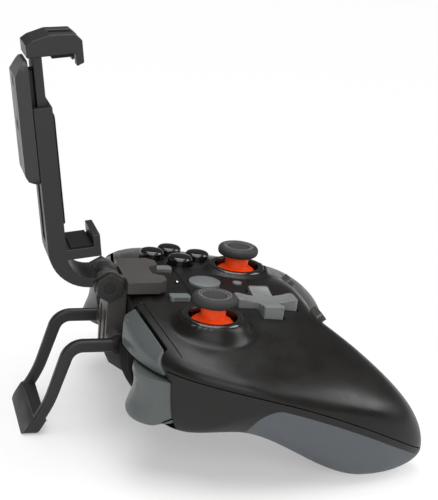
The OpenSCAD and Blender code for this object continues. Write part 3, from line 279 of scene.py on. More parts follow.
def carve(piece: bpy.types.Object, tools: Sequence[Solid], cut: Cut = Cut.AWAY) -> bpy.types.Object:
    """Works solids on a piece, one after the other, and keeps the result as its mesh.

    Args:
        piece: The piece to change.
        tools: The solids that work on it.
        cut: What they do to it.

    Returns:
        The same piece.
    """
    cutters = [tool.piece(f"{piece.name}.tool") for tool in tools]
    for cutter in cutters:
        step = piece.modifiers.new("carve", "BOOLEAN")
        step.operation = cut.value
        step.solver = "MANIFOLD"
        step.object = cutter
    settle(piece)
    for cutter in cutters:
        bpy.data.meshes.remove(cutter.data)
    return piece


def settle(piece: bpy.types.Object) -> None:
    """Turns a piece's modifiers into its own mesh.

    Args:
        piece: The piece, which isn't a CAD node.
    """
    bpy.context.view_layer.update()
    graph = bpy.context.evaluated_depsgraph_get()
    mesh = bpy.data.meshes.new_from_object(piece.evaluated_get(graph))
    old = piece.data
    piece.modifiers.clear()
    piece.data = mesh
    bpy.data.meshes.remove(old)
    mesh.name = piece.name


def smooth(piece: bpy.types.Object, angle: float = 32.0) -> None:
    """Shades a piece smooth, with edges sharper than an angle in degrees left crisp."""
    piece.data.shade_smooth()
    piece.data.set_sharp_from_angle(angle=math.radians(angle))


def ease(piece: bpy.types.Object, width: float, steps: int = 3, angle: float = 32.0) -> None:
    """Rounds a piece's edges with modifiers that leave its mesh as it is.

    Args:
        piece: The piece or CAD node.
        width: How far the round reaches from the edge.
        steps: Steps of the round.
        angle: The least angle of an edge that is rounded, in degrees.
    """
    weld = piece.modifiers.new("weld", "WELD")
    weld.merge_threshold = 0.002 * MM
    bevel = piece.modifiers.new("ease", "BEVEL")
    bevel.width = width * MM
    bevel.segments = steps
    bevel.limit_method = "ANGLE"
    bevel.angle_limit = math.radians(angle)
    bevel.harden_normals = True


@dataclass(frozen=True)
class Nodes:
    """Node tree in the making."""

    tree: bpy.types.NodeTree

    def feed(self, node: bpy.types.Node, inputs: Mapping[str | int, object]) -> None:
        """Gives a node's inputs their values.

        Args:
            node: The node.
            inputs: A plain value, or a socket to link, for each input.
        """
        for key, value in inputs.items():
            if isinstance(value, bpy.types.NodeSocket):
                self.tree.links.new(value, node.inputs[key])
            else:
                node.inputs[key].default_value = value

    def add(self, kind: str, inputs: Mapping[str | int, object], **settings: object) -> bpy.types.NodeOutputs:
        """Adds a node.

        Args:
            kind: The node's type.
            inputs: A plain value, or a socket to link, for each input.
            **settings: Values of the node's own properties.

        Returns:
            The new node's outputs.
        """
        node = self.tree.nodes.new(kind)
        for name, value in settings.items():
            setattr(node, name, value)
        self.feed(node, inputs)
        return node.outputs

    def math(self, operation: str, first: bpy.types.NodeSocket, second: bpy.types.NodeSocket) -> bpy.types.NodeSocket:
        """Returns the value of an operation on two values."""
        return self.add("ShaderNodeMath", {0: first, 1: second}, operation=operation)["Value"]

    def ramp(self, value: bpy.types.NodeSocket, start: Span, end: Span) -> bpy.types.NodeSocket:
        """Maps a value from one span to another.

        Args:
            value: The value's socket.
            start: The span it comes from.
            end: The span it goes to.

        Returns:
            The mapped value's socket.
        """
        spans = {"From Min": start[0], "From Max": start[1], "To Min": end[0], "To Max": end[1]}
        return self.add("ShaderNodeMapRange", {"Value": value, **spans})["Result"]


@dataclass(frozen=True)
class Finish:
    """Moulded plastic, rubber or metal surface.

    Lengths are in millimetres: grain_size is the distance between grains, grain_depth their height and
    cloud_size the distance between the broad clouds of tone. The lighter edge colour, where the normal turns
    at an edge, is edge wear on some finishes and a painted highlight on others.
    """

    name: str
    colour: Colour
    roughness: float
    specular: float = 0.5
    metallic: float = 0.0
    coat: float = 0.0
    grain_size: float = 0.35
    grain_depth: float = 0.012
    mottle: float = 0.08
    rough_spread: float = 0.06
    wear_and_highlight: float = 0.35
    wear_and_highlight_colour: Colour = (0.42, 0.42, 0.42)
    edge: float = 0.25
    glow: float = 0.0
    cloud_size: float = 9.0
    cloud_detail: float = 3.0
    grain_detail: float = 2.0
    cloud_span: Span = (0.3, 0.7)
    turn_span: Span = (0.98, 0.72)

    @staticmethod
    def linear(colour: Colour) -> tuple[float, float, float, float]:
        """Returns a screen colour as linear light."""
        light = [c / 12.92 if c <= 0.04045 else ((c + 0.055) / 1.055) ** 2.4 for c in colour]
        return (light[0], light[1], light[2], 1.0)

    def material(self) -> bpy.types.Material:
        """Returns the finish as a node material, made once."""
        known = bpy.data.materials.get(self.name)
        if known:
            return known
        mat = bpy.data.materials.new(self.name)
        mat.use_nodes = True
        nodes = Nodes(mat.node_tree)
        base = self.linear(self.colour)
        coords = nodes.add("ShaderNodeTexCoord", {})["Object"]
        broad, fine = (
            nodes.add(
                "ShaderNodeTexNoise", {"Vector": coords, "Scale": 1 / (size * MM), "Detail": detail, "Roughness": 0.55}
            )["Fac"]
            for size, detail in ((self.cloud_size, self.cloud_detail), (self.grain_size, self.grain_detail))
        )
        shades = [tuple(min(c * k, 1) for c in base[:3]) + (1.0,) for k in (1 - self.mottle, 1 + self.mottle)]
        tones = {"Factor": broad, "A": shades[0], "B": shades[1]}
        tone = nodes.add("ShaderNodeMix", tones, data_type="RGBA")["Result"]
        eased = nodes.add("ShaderNodeBevel", {"Radius": self.edge * MM}, samples=4)["Normal"]
        plain = nodes.add("ShaderNodeNewGeometry", {})["Normal"]
        bend = nodes.add("ShaderNodeVectorMath", {0: eased, 1: plain}, operation="DOT_PRODUCT")["Value"]
        # Lighter edges: edge wear, and on the ring, bumper and pad finishes a painted highlight.
        worn_and_highlit_edges = nodes.math("MULTIPLY", nodes.ramp(bend, self.turn_span, (0.0, self.wear_and_highlight)), broad)
        worn_and_highlit_colour = {"Factor": worn_and_highlit_edges, "A": tone, "B": self.linear(self.wear_and_highlight_colour)}
        rough = (max(self.roughness - self.rough_spread, 0.02), min(self.roughness + self.rough_spread, 1.0))
        grain = {"Strength": 1.0, "Distance": self.grain_depth * MM, "Height": fine, "Normal": eased}
        looks = {
            "Base Color": nodes.add("ShaderNodeMix", worn_and_highlit_colour, data_type="RGBA")["Result"],
            "Roughness": nodes.ramp(broad, self.cloud_span, rough),
            "Normal": nodes.add("ShaderNodeBump", grain)["Normal"],
            "Specular IOR Level": self.specular,
            "Metallic": self.metallic,
            "Coat Weight": self.coat,
            "Coat Roughness": 0.06,
        }
        if self.glow:
            looks |= {"Emission Color": base, "Emission Strength": self.glow}
        nodes.feed(mat.node_tree.nodes["Principled BSDF"], looks)
        return mat

    def dress(self, piece: bpy.types.Object) -> bpy.types.Object:
        """Puts the finish on a piece as its only material and returns the piece."""
        piece.data.materials.clear()
        piece.data.materials.append(self.material())
        return piece


UPPER_SHELL = Finish("satin_charcoal_shell", (0.078, 0.072, 0.067), 0.32, specular=0.27, wear_and_highlight=0.2)
LOWER_SHELL = Finish("satin_slate_shell", (0.112, 0.106, 0.102), 0.44, specular=0.28, wear_and_highlight=0.2)
GRIP_RUBBER = Finish(
    "grained_slate_grip", (0.300, 0.318, 0.335), 0.55, specular=0.40, grain_size=0.7, grain_depth=0.2, edge=0.3
)
SWITCH_PLASTIC = Finish("grey_switch_plastic", (0.255, 0.247, 0.242), 0.40, wear_and_highlight_colour=(0.6, 0.6, 0.6), wear_and_highlight=0.6)
# Painted highlight: the light edge colour brightens the pad's bevelled edges.
PAD_PLASTIC = Finish(
    "light_grey_pad_plastic", (0.43, 0.44, 0.435), 0.30, wear_and_highlight=0.7, wear_and_highlight_colour=(0.75, 0.75, 0.74), edge=0.3
)
GREY_PLASTIC = Finish("cool_grey_plastic", (0.375, 0.388, 0.392), 0.38, wear_and_highlight_colour=(0.6, 0.6, 0.62))
# Painted highlight: the light edge colour brightens the crests and edges of the bumpers and triggers.
BUMPER_PLASTIC = Finish("slate_bumper_plastic", (0.295, 0.315, 0.313), 0.36, wear_and_highlight=0.7, wear_and_highlight_colour=(0.66, 0.68, 0.68))
GLOSS_BLACK = Finish(
    "gloss_black_plastic", (0.045, 0.045, 0.047), 0.14, coat=0.35, grain_depth=0.002, wear_and_highlight=0.1
)
ORANGE_PLASTIC = Finish(
    "orange_stem_plastic", (1.0, 0.28, 0.02), 0.40, specular=0.25, grain_depth=0.006, wear_and_highlight=0.2,
    wear_and_highlight_colour=(1.0, 0.55, 0.2),
)
CAP_RUBBER = Finish(
    "dark_cap_rubber", (0.172, 0.170, 0.168), 0.62, specular=0.35, grain_size=0.3, grain_depth=0.025, edge=0.2
)
# Painted highlight: the light edge colour draws the bright line on the ring's rims.
RING_BLACK = Finish(
    "polished_ring_plastic", (0.07, 0.07, 0.072), 0.16, coat=0.4, grain_depth=0.002, wear_and_highlight=0.9,
    wear_and_highlight_colour=(0.7, 0.7, 0.7), edge=0.35,
)
# Painted light: lighter than the clip's plastic, to stand for the light on the base plate's top; the front column gets
# it too.
LIT_BASE_PLASTIC = Finish("matt_base_plastic_painted_light", (0.245, 0.234, 0.226), 0.46, specular=0.42, grain_depth=0.016)
# Painted shade: darker matt plastic for the lower shell's front between the triggers, where shade falls under the
# body.
PAINTED_SHADE_PLASTIC = Finish("painted_shade_front_plastic", (0.05, 0.048, 0.046), 0.8, specular=0.1, wear_and_highlight=0.0)
# Painted highlight: the cap's dots are the cap's rubber, drawn lighter as if catching the light.
HIGHLIT_CAP_DOTS = Finish("painted_highlight_cap_dots", (0.36, 0.36, 0.36), 0.5, grain_depth=0.004)
CLIP_PLASTIC = Finish(
    "matt_black_clip_plastic", (0.115, 0.111, 0.108), 0.44, specular=0.42, grain_depth=0.016, wear_and_highlight=0.25
)
COVER_PLASTIC = Finish("dark_grey_cover_plastic", (0.150, 0.150, 0.152), 0.38, specular=0.45)
PAD_RUBBER = Finish("black_pad_rubber", (0.085, 0.085, 0.087), 0.8, specular=0.25, grain_size=0.6, grain_depth=0.04)
STEEL = Finish(
    "brushed_steel", (0.60, 0.60, 0.61), 0.3, metallic=1.0, grain_size=0.2, grain_depth=0.004, wear_and_highlight=0.2,
    wear_and_highlight_colour=(0.8, 0.8, 0.8),
)
DARK_STEEL = Finish(
    "blackened_steel", (0.20, 0.20, 0.205), 0.34, metallic=0.8, grain_size=0.2, grain_depth=0.004, wear_and_highlight=0.3,
    wear_and_highlight_colour=(0.4, 0.4, 0.4),
)
BOARD = Finish("green_circuit_board", (0.10, 0.30, 0.16), 0.5, grain_size=1.2, grain_depth=0.02)
MAT_RUBBER = Finish("white_contact_mat", (0.78, 0.78, 0.76), 0.7, grain_size=0.6)
CELL_WRAP = Finish("silver_cell_wrap", (0.62, 0.63, 0.65), 0.35, metallic=0.4, grain_size=2.0, grain_depth=0.05)
LIGHT = Finish("white_light_lens", (0.95, 0.96, 1.0), 0.3, glow=0.8, grain_depth=0.001, wear_and_highlight=0.0)


@dataclass
class BodyForm:
    """Double-curved form of the CAD shells, with a crisper corner low at the front."""

    half_w: float = 73.0
    body_front: float = 35.0
    widest_y: float = -18.5
    waist_y: float = -46.4
    waist_half: float = 19.0
    handle_x: float = 54.6
    handle_in: float = 46.0
    tip_y: float = -73.765
    seam_z: float = 39.0
    seam_slope: float = 0.203
    seam_bend: float = 0.0028
    face_z: float = 53.2
    face_tilt: float = 1.5
    handle_rise: float = 26.2
    belly_z: float = 17.0
    belly_half: float = 24.0
    hollow_z: float = 19.5
    hollow_y: float = 1.8
    heel_y: float = -49.4
    front_power: float = 3.6
    front_root: float = 2.5
    front_round: float = 8.0
    waist_round: float = 11.0
    tip_round: float = 6.8
    crown_power: float = 1.6
    heel_power: float = 2.2
    corner_round: float = 30.0
    corner_from: float = 36.0
    corner_to: float = 50.0
    soft_edge: float = 2.6
    seam_gap: float = 0.45
    lift: float = 0.008
    rim_in: float = 0.03
    crowding: float = 1.6
    sections: int = 300
    steps: int = 112

    def seam(self, y: np.ndarray) -> np.ndarray:
        """Returns the height of the seam between the shells."""
        return self.seam_z + self.seam_slope * y - self.seam_bend * y * y

    def face(self, y: np.ndarray | float) -> np.ndarray:
        """Returns the height of the flat face."""
        return self.face_z + math.tan(math.radians(self.face_tilt)) * y

    def front(self, a: np.ndarray, d: float) -> np.ndarray:
        """Returns the front edge at the side distance a, drawn in by d."""
        share = np.clip(1 - (a / (self.half_w - d)) ** self.front_power, 0, 1)
        return self.widest_y + (self.body_front - d - self.widest_y) * share ** (1 / self.front_root)

    def rear(self, a: np.ndarray, d: float) -> np.ndarray:
        """Returns the rear edge at the side distance a, drawn in by d."""
        inner = smooth01((a - self.waist_half - d) / (self.handle_x - self.waist_half - d))
        waist = self.waist_y + d - (self.waist_y - self.tip_y) * inner
        side = np.clip((a - self.handle_x) / (self.half_w - d - self.handle_x), 0, 1)
        tip = self.widest_y - (self.widest_y - self.tip_y - d) * np.sqrt(1 - side**2)
        return np.where(a < self.handle_x, waist, tip)

    def fullness(self, a: np.ndarray, share: np.ndarray, front: np.ndarray | float | None = None) -> np.ndarray:
        """How full a section is.

        Args:
            a: The side distance.
            share: The share of the way from the front edge to the rear edge.
            front: The power of the section's front, if it has one of its own.

        Returns:
            The fullness, from 0 at the edges to 1.
        """
        out = smooth01((a - self.waist_half) / (self.handle_in - self.waist_half))
        rear = mix(self.waist_round, self.tip_round, out)
        power = np.where(share < 0.5, self.front_round if front is None else front, rear)
        return np.sqrt(np.clip(1 - np.abs(2 * share - 1) ** power, 0, 1))

    def share(self, a: np.ndarray, d: float, y: np.ndarray) -> np.ndarray:
        """Returns the share of the way from the front edge to the rear edge."""
        front = self.front(a, d)
        return np.clip((front - y) / (front - self.rear(a, d)), 0, 1)

    def under(self, a: np.ndarray, y: np.ndarray) -> np.ndarray:
        """Returns the height of the underside before its edges are rounded."""
        handle_x = np.array(self.handle_x)
        at_heel = float(self.fullness(handle_x, self.share(handle_x, 0, self.heel_y)))
        base = float(self.seam(self.heel_y)) * (1 - 1 / at_heel) + self.lift
        handle = mix(base, self.hollow_z, smooth01((y - self.heel_y) / (self.hollow_y - self.heel_y)))
        return mix(self.belly_z, handle, smooth01((a - self.belly_half) / (self.handle_in - self.belly_half)))

    def top(self, a: np.ndarray, d: float, y: np.ndarray) -> np.ndarray:
        """Returns the height of the upper side drawn in by d."""
        rise = self.face(y) - self.seam(y)
        soft = -self.soft_edge * np.log(np.exp(-rise / self.soft_edge) + np.exp(-self.handle_rise / self.soft_edge))
        crown = np.sqrt(np.clip(1 - (a / (self.half_w - d)) ** self.crown_power, 0, 1))
        return self.seam(y) + np.maximum(soft - d, 0) * crown * self.fullness(a, self.share(a, d, y))

    def low(self, a: np.ndarray, d: float, y: np.ndarray) -> np.ndarray:
        """Returns the height of the underside drawn in by d."""
        side = np.clip((a - self.handle_x) / (self.half_w - d - self.handle_x), 0, 1)
        heel = np.sqrt(1 - side**self.heel_power)
        drop = np.maximum(self.seam(y) - self.under(a, y) - d, 0)
        crisp = smooth01((a - self.corner_from) / (self.corner_to - self.corner_from))
        front = mix(self.front_round, self.corner_round, crisp)
        return self.seam(y) - drop * heel * self.fullness(a, self.share(a, d, y), front)

    def plan(self, d: float) -> tuple[np.ndarray, np.ndarray]:
        """Places of a grid over the body.

        Args:
            d: How far the body is drawn in.

        Returns:
            The grid's x and y values.
        """
        u = np.linspace(-1, 1, self.sections + 1)
        x = np.sign(u) * (self.half_w - d - self.rim_in) * (1 - (1 - np.abs(u)) ** self.crowding)
        t = (1 - np.cos(np.linspace(0, np.pi, self.steps + 1))) / 2
        a = np.abs(x)[:, None]
        y = mix(self.front(a, d), self.rear(a, d), t[None, :])
        return np.broadcast_to(x[:, None], y.shape), y

    def sheet(self, x: np.ndarray, y: np.ndarray, z: np.ndarray) -> np.ndarray:
        """Returns a grid of points from its three coordinates."""
        return np.stack([x, y, np.broadcast_to(z, y.shape)], axis=-1)

    def whole(self, d: float) -> Solid:
        """Returns the closed body drawn in by d."""
        x, y = self.plan(d)
        a = np.abs(x)
        return Solid.pillow(self.sheet(x, y, self.top(a, d, y)), self.sheet(x, y, self.low(a, d, y)))

    def upper_half(self, raised: Sequence["Thumbstick"]) -> Solid:
        """Body above the seam, with a collar round each thumbstick.

        Args:
            raised: The thumbsticks.

        Returns:
            The closed half.
        """
        x, y = self.plan(0)
        z = self.top(np.abs(x), 0, y)
        for stick in raised:
            z = stick.with_collar(self, x, y, z)
        return Solid.pillow(self.sheet(x, y, z), self.sheet(x, y, self.seam(y)))

    def lower_half(self) -> Solid:
        """Returns the closed half below the seam."""
        x, y = self.plan(0)
        line = self.seam(y) - self.seam_gap
        low = np.minimum(self.low(np.abs(x), 0, y), line)
        return Solid.pillow(self.sheet(x, y, line), self.sheet(x, y, low))

    def on_face(self, x: float, y: float) -> Matrix:
        """Returns the frame that stands on the face at a place, with z along its normal."""
        return at((x, y, float(self.face(y))), self.face_tilt)


@dataclass
class Rooms:
    """Rooms cut into the shells for the clip's base, the bumpers, the triggers and the switches."""

    form: BodyForm
    wall: float = 2.4
    recess_half: float = 20.4
    recess_y: float = 29.4
    claw_up: float = 26.0
    claw_bend: float = 24.4
    plate_w: float = 28.0
    plate_rear: float = 15.6
    pocket_z: float = 53.9
    slide_gap: float = 0.3
    bumper_in: float = 21.0
    bumper_out: float = 56.6
    bumper_low: float = 39.6
    bumper_gap: float = 1.1
    line_x: float = -2.0
    line_y: float = -230.8
    line_r: float = 260.0
    crest: float = 107.7
    crest_fall: float = 1.17
    least_h: float = 0.2
    trigger_in: float = 33.5
    trigger_out: float = 58.0
    trigger_y: float = 24.5
    trigger_z: float = 34.9
    trigger_drop: float = 12.3
    trigger_room: float = 14.4
    trigger_chin: float = 285.0
    trigger_gap: float = 0.6
    trigger_floor: float = 8.0
    trigger_hub: float = 3.6
    trigger_ledge: float = 1.5
    trigger_over: float = 0.5
    under_x: float = 45.4
    under_y: float = 1.0
    under_w: float = 7.0
    under_l: float = 15.0
    under_round: float = 3.0
    under_depth: float = 4.0
    under_open: float = 6.0
    rear_x: float = 18.5
    rear_y: float = -41.5
    rear_lean: float = 52.0
    slot_l: float = 16.0
    slot_w: float = 4.4
    slot_depth: float = 3.0
    slot_open: float = 15.0
    bar_l: float = 7.0
    knob_round: float = 1.0
    button_gap: float = 0.4

    def recess(self, e: float) -> Solid:
        """Returns the recess in the front for the clip's base, grown by e."""
        near, bend = self.recess_y - e, self.claw_bend - e
        rear = [(near, FAR), (near, self.claw_up + e), (bend, self.form.belly_z + e), (bend, -FAR)]
        return Solid.across(np.array([*rear, (FAR, -FAR), (FAR, FAR)]), self.recess_half + e)

    def pocket(self, e: float) -> Solid:
        """Returns the pocket for the clip's plate, grown by e."""
        half = self.plate_w / 2 + self.slide_gap + e
        rear = self.plate_rear - self.slide_gap - e
        outline = np.array([(-half, rear), (half, rear), (half, FAR), (-half, FAR)])
        return Solid.prism(outline, self.pocket_z - e, FAR)

    def line(self, x: np.ndarray, back: float = 0.0) -> np.ndarray:
        """Returns the y values of the curve behind the right bumper, moved back by a distance."""
        return self.line_y + np.sqrt((self.line_r - back) ** 2 - (x - self.line_x) ** 2)

    def bumper_block(self, inner: float, low: float, e: float) -> Solid:
        """Block in front of the curve behind the right bumper.

        Args:
            inner: Its inner side.
            low: Its floor.
            e: How much it is grown.

        Returns:
            The closed block.
        """
        x = np.linspace(inner, self.bumper_out + e, 49)
        near = self.line(x, e)
        top = np.maximum(self.crest - self.crest_fall * x + e * math.hypot(1, self.crest_fall), low + self.least_h)
        rings = [[(u, y, low), (u, FAR, low), (u, FAR, v), (u, y, v)] for u, y, v in zip(x, near, top)]
        return Solid.loft(np.array(rings))

    def bumper(self, e: float) -> Solid:
        """Returns the right bumper's room, grown by e."""
        return self.bumper_block(self.recess_half - 1 - e, self.bumper_low - e, e)

    def trigger(self, e: float) -> Solid:
        """Right trigger's room, low behind the hub and open to the front.

        Args:
            e: How much it is grown.

        Returns:
            The closed room.
        """
        grow = self.trigger_gap + e
        pivot = (self.trigger_y, self.trigger_z)
        top, ledge = self.bumper_low + self.trigger_over, self.trigger_ledge + e
        hub_r, belly_r = self.trigger_hub + grow, self.trigger_room + e
        over = min((top - self.trigger_z) / hub_r, 1.0)
        first, last, belly_first = (180 - math.degrees(math.asin(v)) for v in (over, ledge / hub_r, ledge / belly_r))
        hub = arc(pivot, hub_r, first, last, 16)
        belly = arc(pivot, belly_r, belly_first, self.trigger_chin, 56)
        mouth = [(belly[-1][0], self.trigger_floor), (FAR, self.trigger_floor), (FAR, top)]
        if over < 1:
            hub[0][1] = top
        else:
            mouth.append((self.trigger_y + HAIR, top))
        middle = (self.trigger_in + self.trigger_out) / 2
        return Solid.across(np.concatenate([hub, belly, mouth]), middle - self.trigger_in + grow, middle)

    def well(self, e: float) -> Solid:
        """Returns the well of the right rear button, grown by e."""
        grow = 2 * (self.button_gap + e)
        z = float(self.form.low(np.array(self.under_x), 0, np.array(self.under_y)))
        outline = round_rect(self.under_w + grow, self.under_l + grow, self.under_round)
        return Solid.prism(outline + (self.under_x, self.under_y), z - self.under_open - e, z + self.under_depth + e)

    def on_rear(self, x: float) -> Matrix:
        """Returns the frame that stands on the rear edge at a side place."""
        z = float(self.form.top(np.array(self.rear_x), 0, np.array(self.rear_y)))
        return at((x, self.rear_y, z), self.rear_lean)

    def slots(self, e: float) -> list[Solid]:
        """Returns the two slots in the rear edge, grown by e."""
        sizes = ((-self.rear_x, self.slot_l + 2 * e), (self.rear_x, self.bar_l + 2 * (self.button_gap + e)))
        return [
            Solid.prism(round_rect(length, self.slot_w + 2 * e, self.knob_round), -self.slot_depth - e, self.slot_open)
            .moved(self.on_rear(x))
            for x, length in sizes
        ]

    def both(self, right: Solid) -> list[Solid]:
        """Returns a room and its mirror image."""
        return [right, right.mirrored()]

    def cavity(self) -> Solid:
        """Returns the hollow inside the shells, with a wall left round every room."""
        e = self.wall
        piece = self.form.whole(e).piece("cavity")
        tools = [self.recess(e), self.pocket(e), *self.both(self.bumper(e)), *self.both(self.trigger(e))]
        carve(piece, [*tools, *self.both(self.well(e)), *self.slots(e)])
        return Solid.taken(piece)


@dataclass
class Thumbstick:
    """Cap, stem, collar and place of one thumbstick."""

    side: str
    x: float
    y: float
    ring_r: float = 11.4
    dome_r: float = 9.0
    button_gap: float = 0.4
    seat_gap: float = 0.1
    ring_seat: float = -1.2
    collar_h: float = 0.7
    collar_rim: float = 0.8
    collar_slope: float = 1.7
    collar_soft: float = 0.75
    collar_reach: float = 9.0
    collar_fade: float = 4.0
    pivot_depth: float = 6.0
    cap_r: float = 8.0
    cap_low: float = 11.4
    cap_h: float = 3.8
    cap_edge: float = 1.7
    cap_dish: float = 1.0
    cap_bore: float = 4.6
    dish_steps: int = 24
    dots: int = 46
    dot_ring: float = 5.8
    dot_rows: Span = (0.0, 0.85)
    dot_form: tuple[Span, ...] = ((0, -0.15), (0.34, -0.15), (0.3, 0.14), (0.15, 0.26), (0, 0.29))

    def with_collar(self, form: BodyForm, x: np.ndarray, y: np.ndarray, z: np.ndarray) -> np.ndarray:
        """Upper side with this stick's collar blended in.

        Args:
            form: The body's form.
            x: The grid's x values.
            y: The grid's y values.
            z: The heights without the collar.

        Returns:
            The new heights.
        """
        tilt = math.radians(form.face_tilt)
        r = np.hypot(x - self.x, (y - self.y) / math.cos(tilt))
        past = r - self.ring_r - self.collar_rim
        fall = np.where(past > 0, past * self.collar_slope, 0)
        cone = form.face(y) + (self.collar_h - fall) / math.cos(tilt)
        k = self.collar_soft
        joined = np.maximum(z, cone) + k * np.log1p(np.exp(-np.abs(z - cone) / k))
        near = smooth01((self.ring_r + self.collar_reach - r) / self.collar_fade)
        return mix(z, joined, near)

    def holes(self, form: BodyForm) -> list[Solid]:
        """Returns the hole for the stem's dome and the seat of the ring."""
        place = form.on_face(self.x, self.y)
        seat = round_hole(self.ring_r + self.seat_gap, self.ring_seat, DEEP)
        return [round_hole(self.dome_r + self.button_gap, -DEEP, DEEP).moved(place), seat.moved(place)]

    def place(self, form: BodyForm) -> Matrix:
        """Returns the frame that stands at the stick's pivot."""
        return form.on_face(self.x, self.y) @ Matrix.Translation((0, 0, -self.pivot_depth))

    def cap(self, form: BodyForm) -> bpy.types.Object:
        """Builds the rubber cap with its round flank, dish and ring of dots.

        Args:
            form: The body's form.

        Returns:
            The dressed cap, riding on its stick.
        """
        top = self.cap_low + self.cap_h
        edge = self.cap_edge
        flank = np.concatenate([
            arc((self.cap_r - edge, self.cap_low + edge), edge, -90, 0, 10),
            arc((self.cap_r - edge, top - edge), edge, 0, 100, 12),
        ])
        lip = flank[-1]
        out = np.linspace(1, 0, self.dish_steps)[1:]
        dish = top - self.cap_dish * np.cos(out * np.pi / 2) ** 0.8 - (top - lip[1]) * out
        foot = [(0, self.cap_low), (self.cap_bore, self.cap_low)]
        profile = np.concatenate([foot, flank, np.column_stack([lip[0] * out, dish])])
        place = self.place(form)
        cap = Solid.lathe(profile).moved(place).piece(f"{self.side}_cap_rubber")
        bumps = [self.dot(i, row, profile).moved(place) for row in range(len(self.dot_rows)) for i in range(self.dots)]
        knurl = merged(bumps).piece(f"{self.side}_cap_dots")
        # The dots get the lighter finish as a painted highlight.
        for piece, finish in ((cap, CAP_RUBBER), (knurl, HIGHLIT_CAP_DOTS)):
            smooth(piece, 40)
            finish.dress(piece)
            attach(piece, f"{self.side}_stick")
        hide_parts(f"{self.side}_stick_cap")
        return cap

    def stem(self, form: BodyForm) -> bpy.types.Object:
        """Builds the stem: a dome in the ring, a straight neck and the flange inside the cap.

        Args:
            form: The body's form.

        Returns:
            The dressed stem, riding on its stick.
        """
        bore = [(0, 11), (2.05, 11), (2.05, 5.2), (3.4, 5.2)]
        inside = [(3.4, 6.3), (4.5, 6.05), (6, 5.4), (6.9, 4.6), (7.3, 3.66)]
        dome = [(8.2, 3.66), (8.1, 4.2), (7.85, 4.75), (7.5, 5.2), (7.05, 5.65), (6.55, 6.03), (6, 6.37), (5.4, 6.68)]
        neck = [(4.9, 6.9), (4.65, 7.05), (4.5, 7.3), (4.5, 12), (5.6, 12), (5.6, 13.2), (0, 13.2)]
        solid = Solid.lathe(np.array(bore + inside + dome + neck)).moved(self.place(form))
        piece = solid.piece(f"{self.side}_stem_dome")
        smooth(piece, 40)
        ORANGE_PLASTIC.dress(piece)
        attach(piece, f"{self.side}_stick")
        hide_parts(f"{self.side}_stick_stem")
        return piece

    def dot(self, i: int, row: int, profile: np.ndarray) -> Solid:
        """One dot of the two rings raised on the cap's dish.

        Args:
            i: The dot's number round the ring.
            row: The ring's number.
            profile: The cap's profile.

        Returns:
            The dot about the stick's axis.
        """
        r = self.dot_ring - self.dot_rows[row]
        rim = profile[-self.dish_steps:]
        z = float(np.interp(r, rim[::-1, 0], rim[::-1, 1]))
        turn = 2 * math.pi * (i + 0.5 * row) / self.dots
        dome = Solid.lathe(np.array(self.dot_form), 8)
        return dome.moved(at((r * math.cos(turn), r * math.sin(turn), z)))


def round_hole(radius: float, low: float, high: float) -> Solid:
    """Returns an upright round bar that cuts a hole."""
    return Solid.prism(circle((0, 0), radius, 96), low, high)


def on_side(side: str, right: Sequence[Solid]) -> list[Solid]:
    """Returns solids of the right side as they are on a side."""
    return [solid if side == "right" else solid.mirrored() for solid in right]


def merged(solids: Sequence[Solid]) -> Solid:
    """Returns solids that stay apart as one mesh."""
    points, faces, first = [], [], 0
    for solid in solids:
        points.append(solid.points)
        faces.extend(tuple(i + first for i in face) for face in solid.faces)
        first += len(solid.points)
    return Solid(np.concatenate(points), faces)


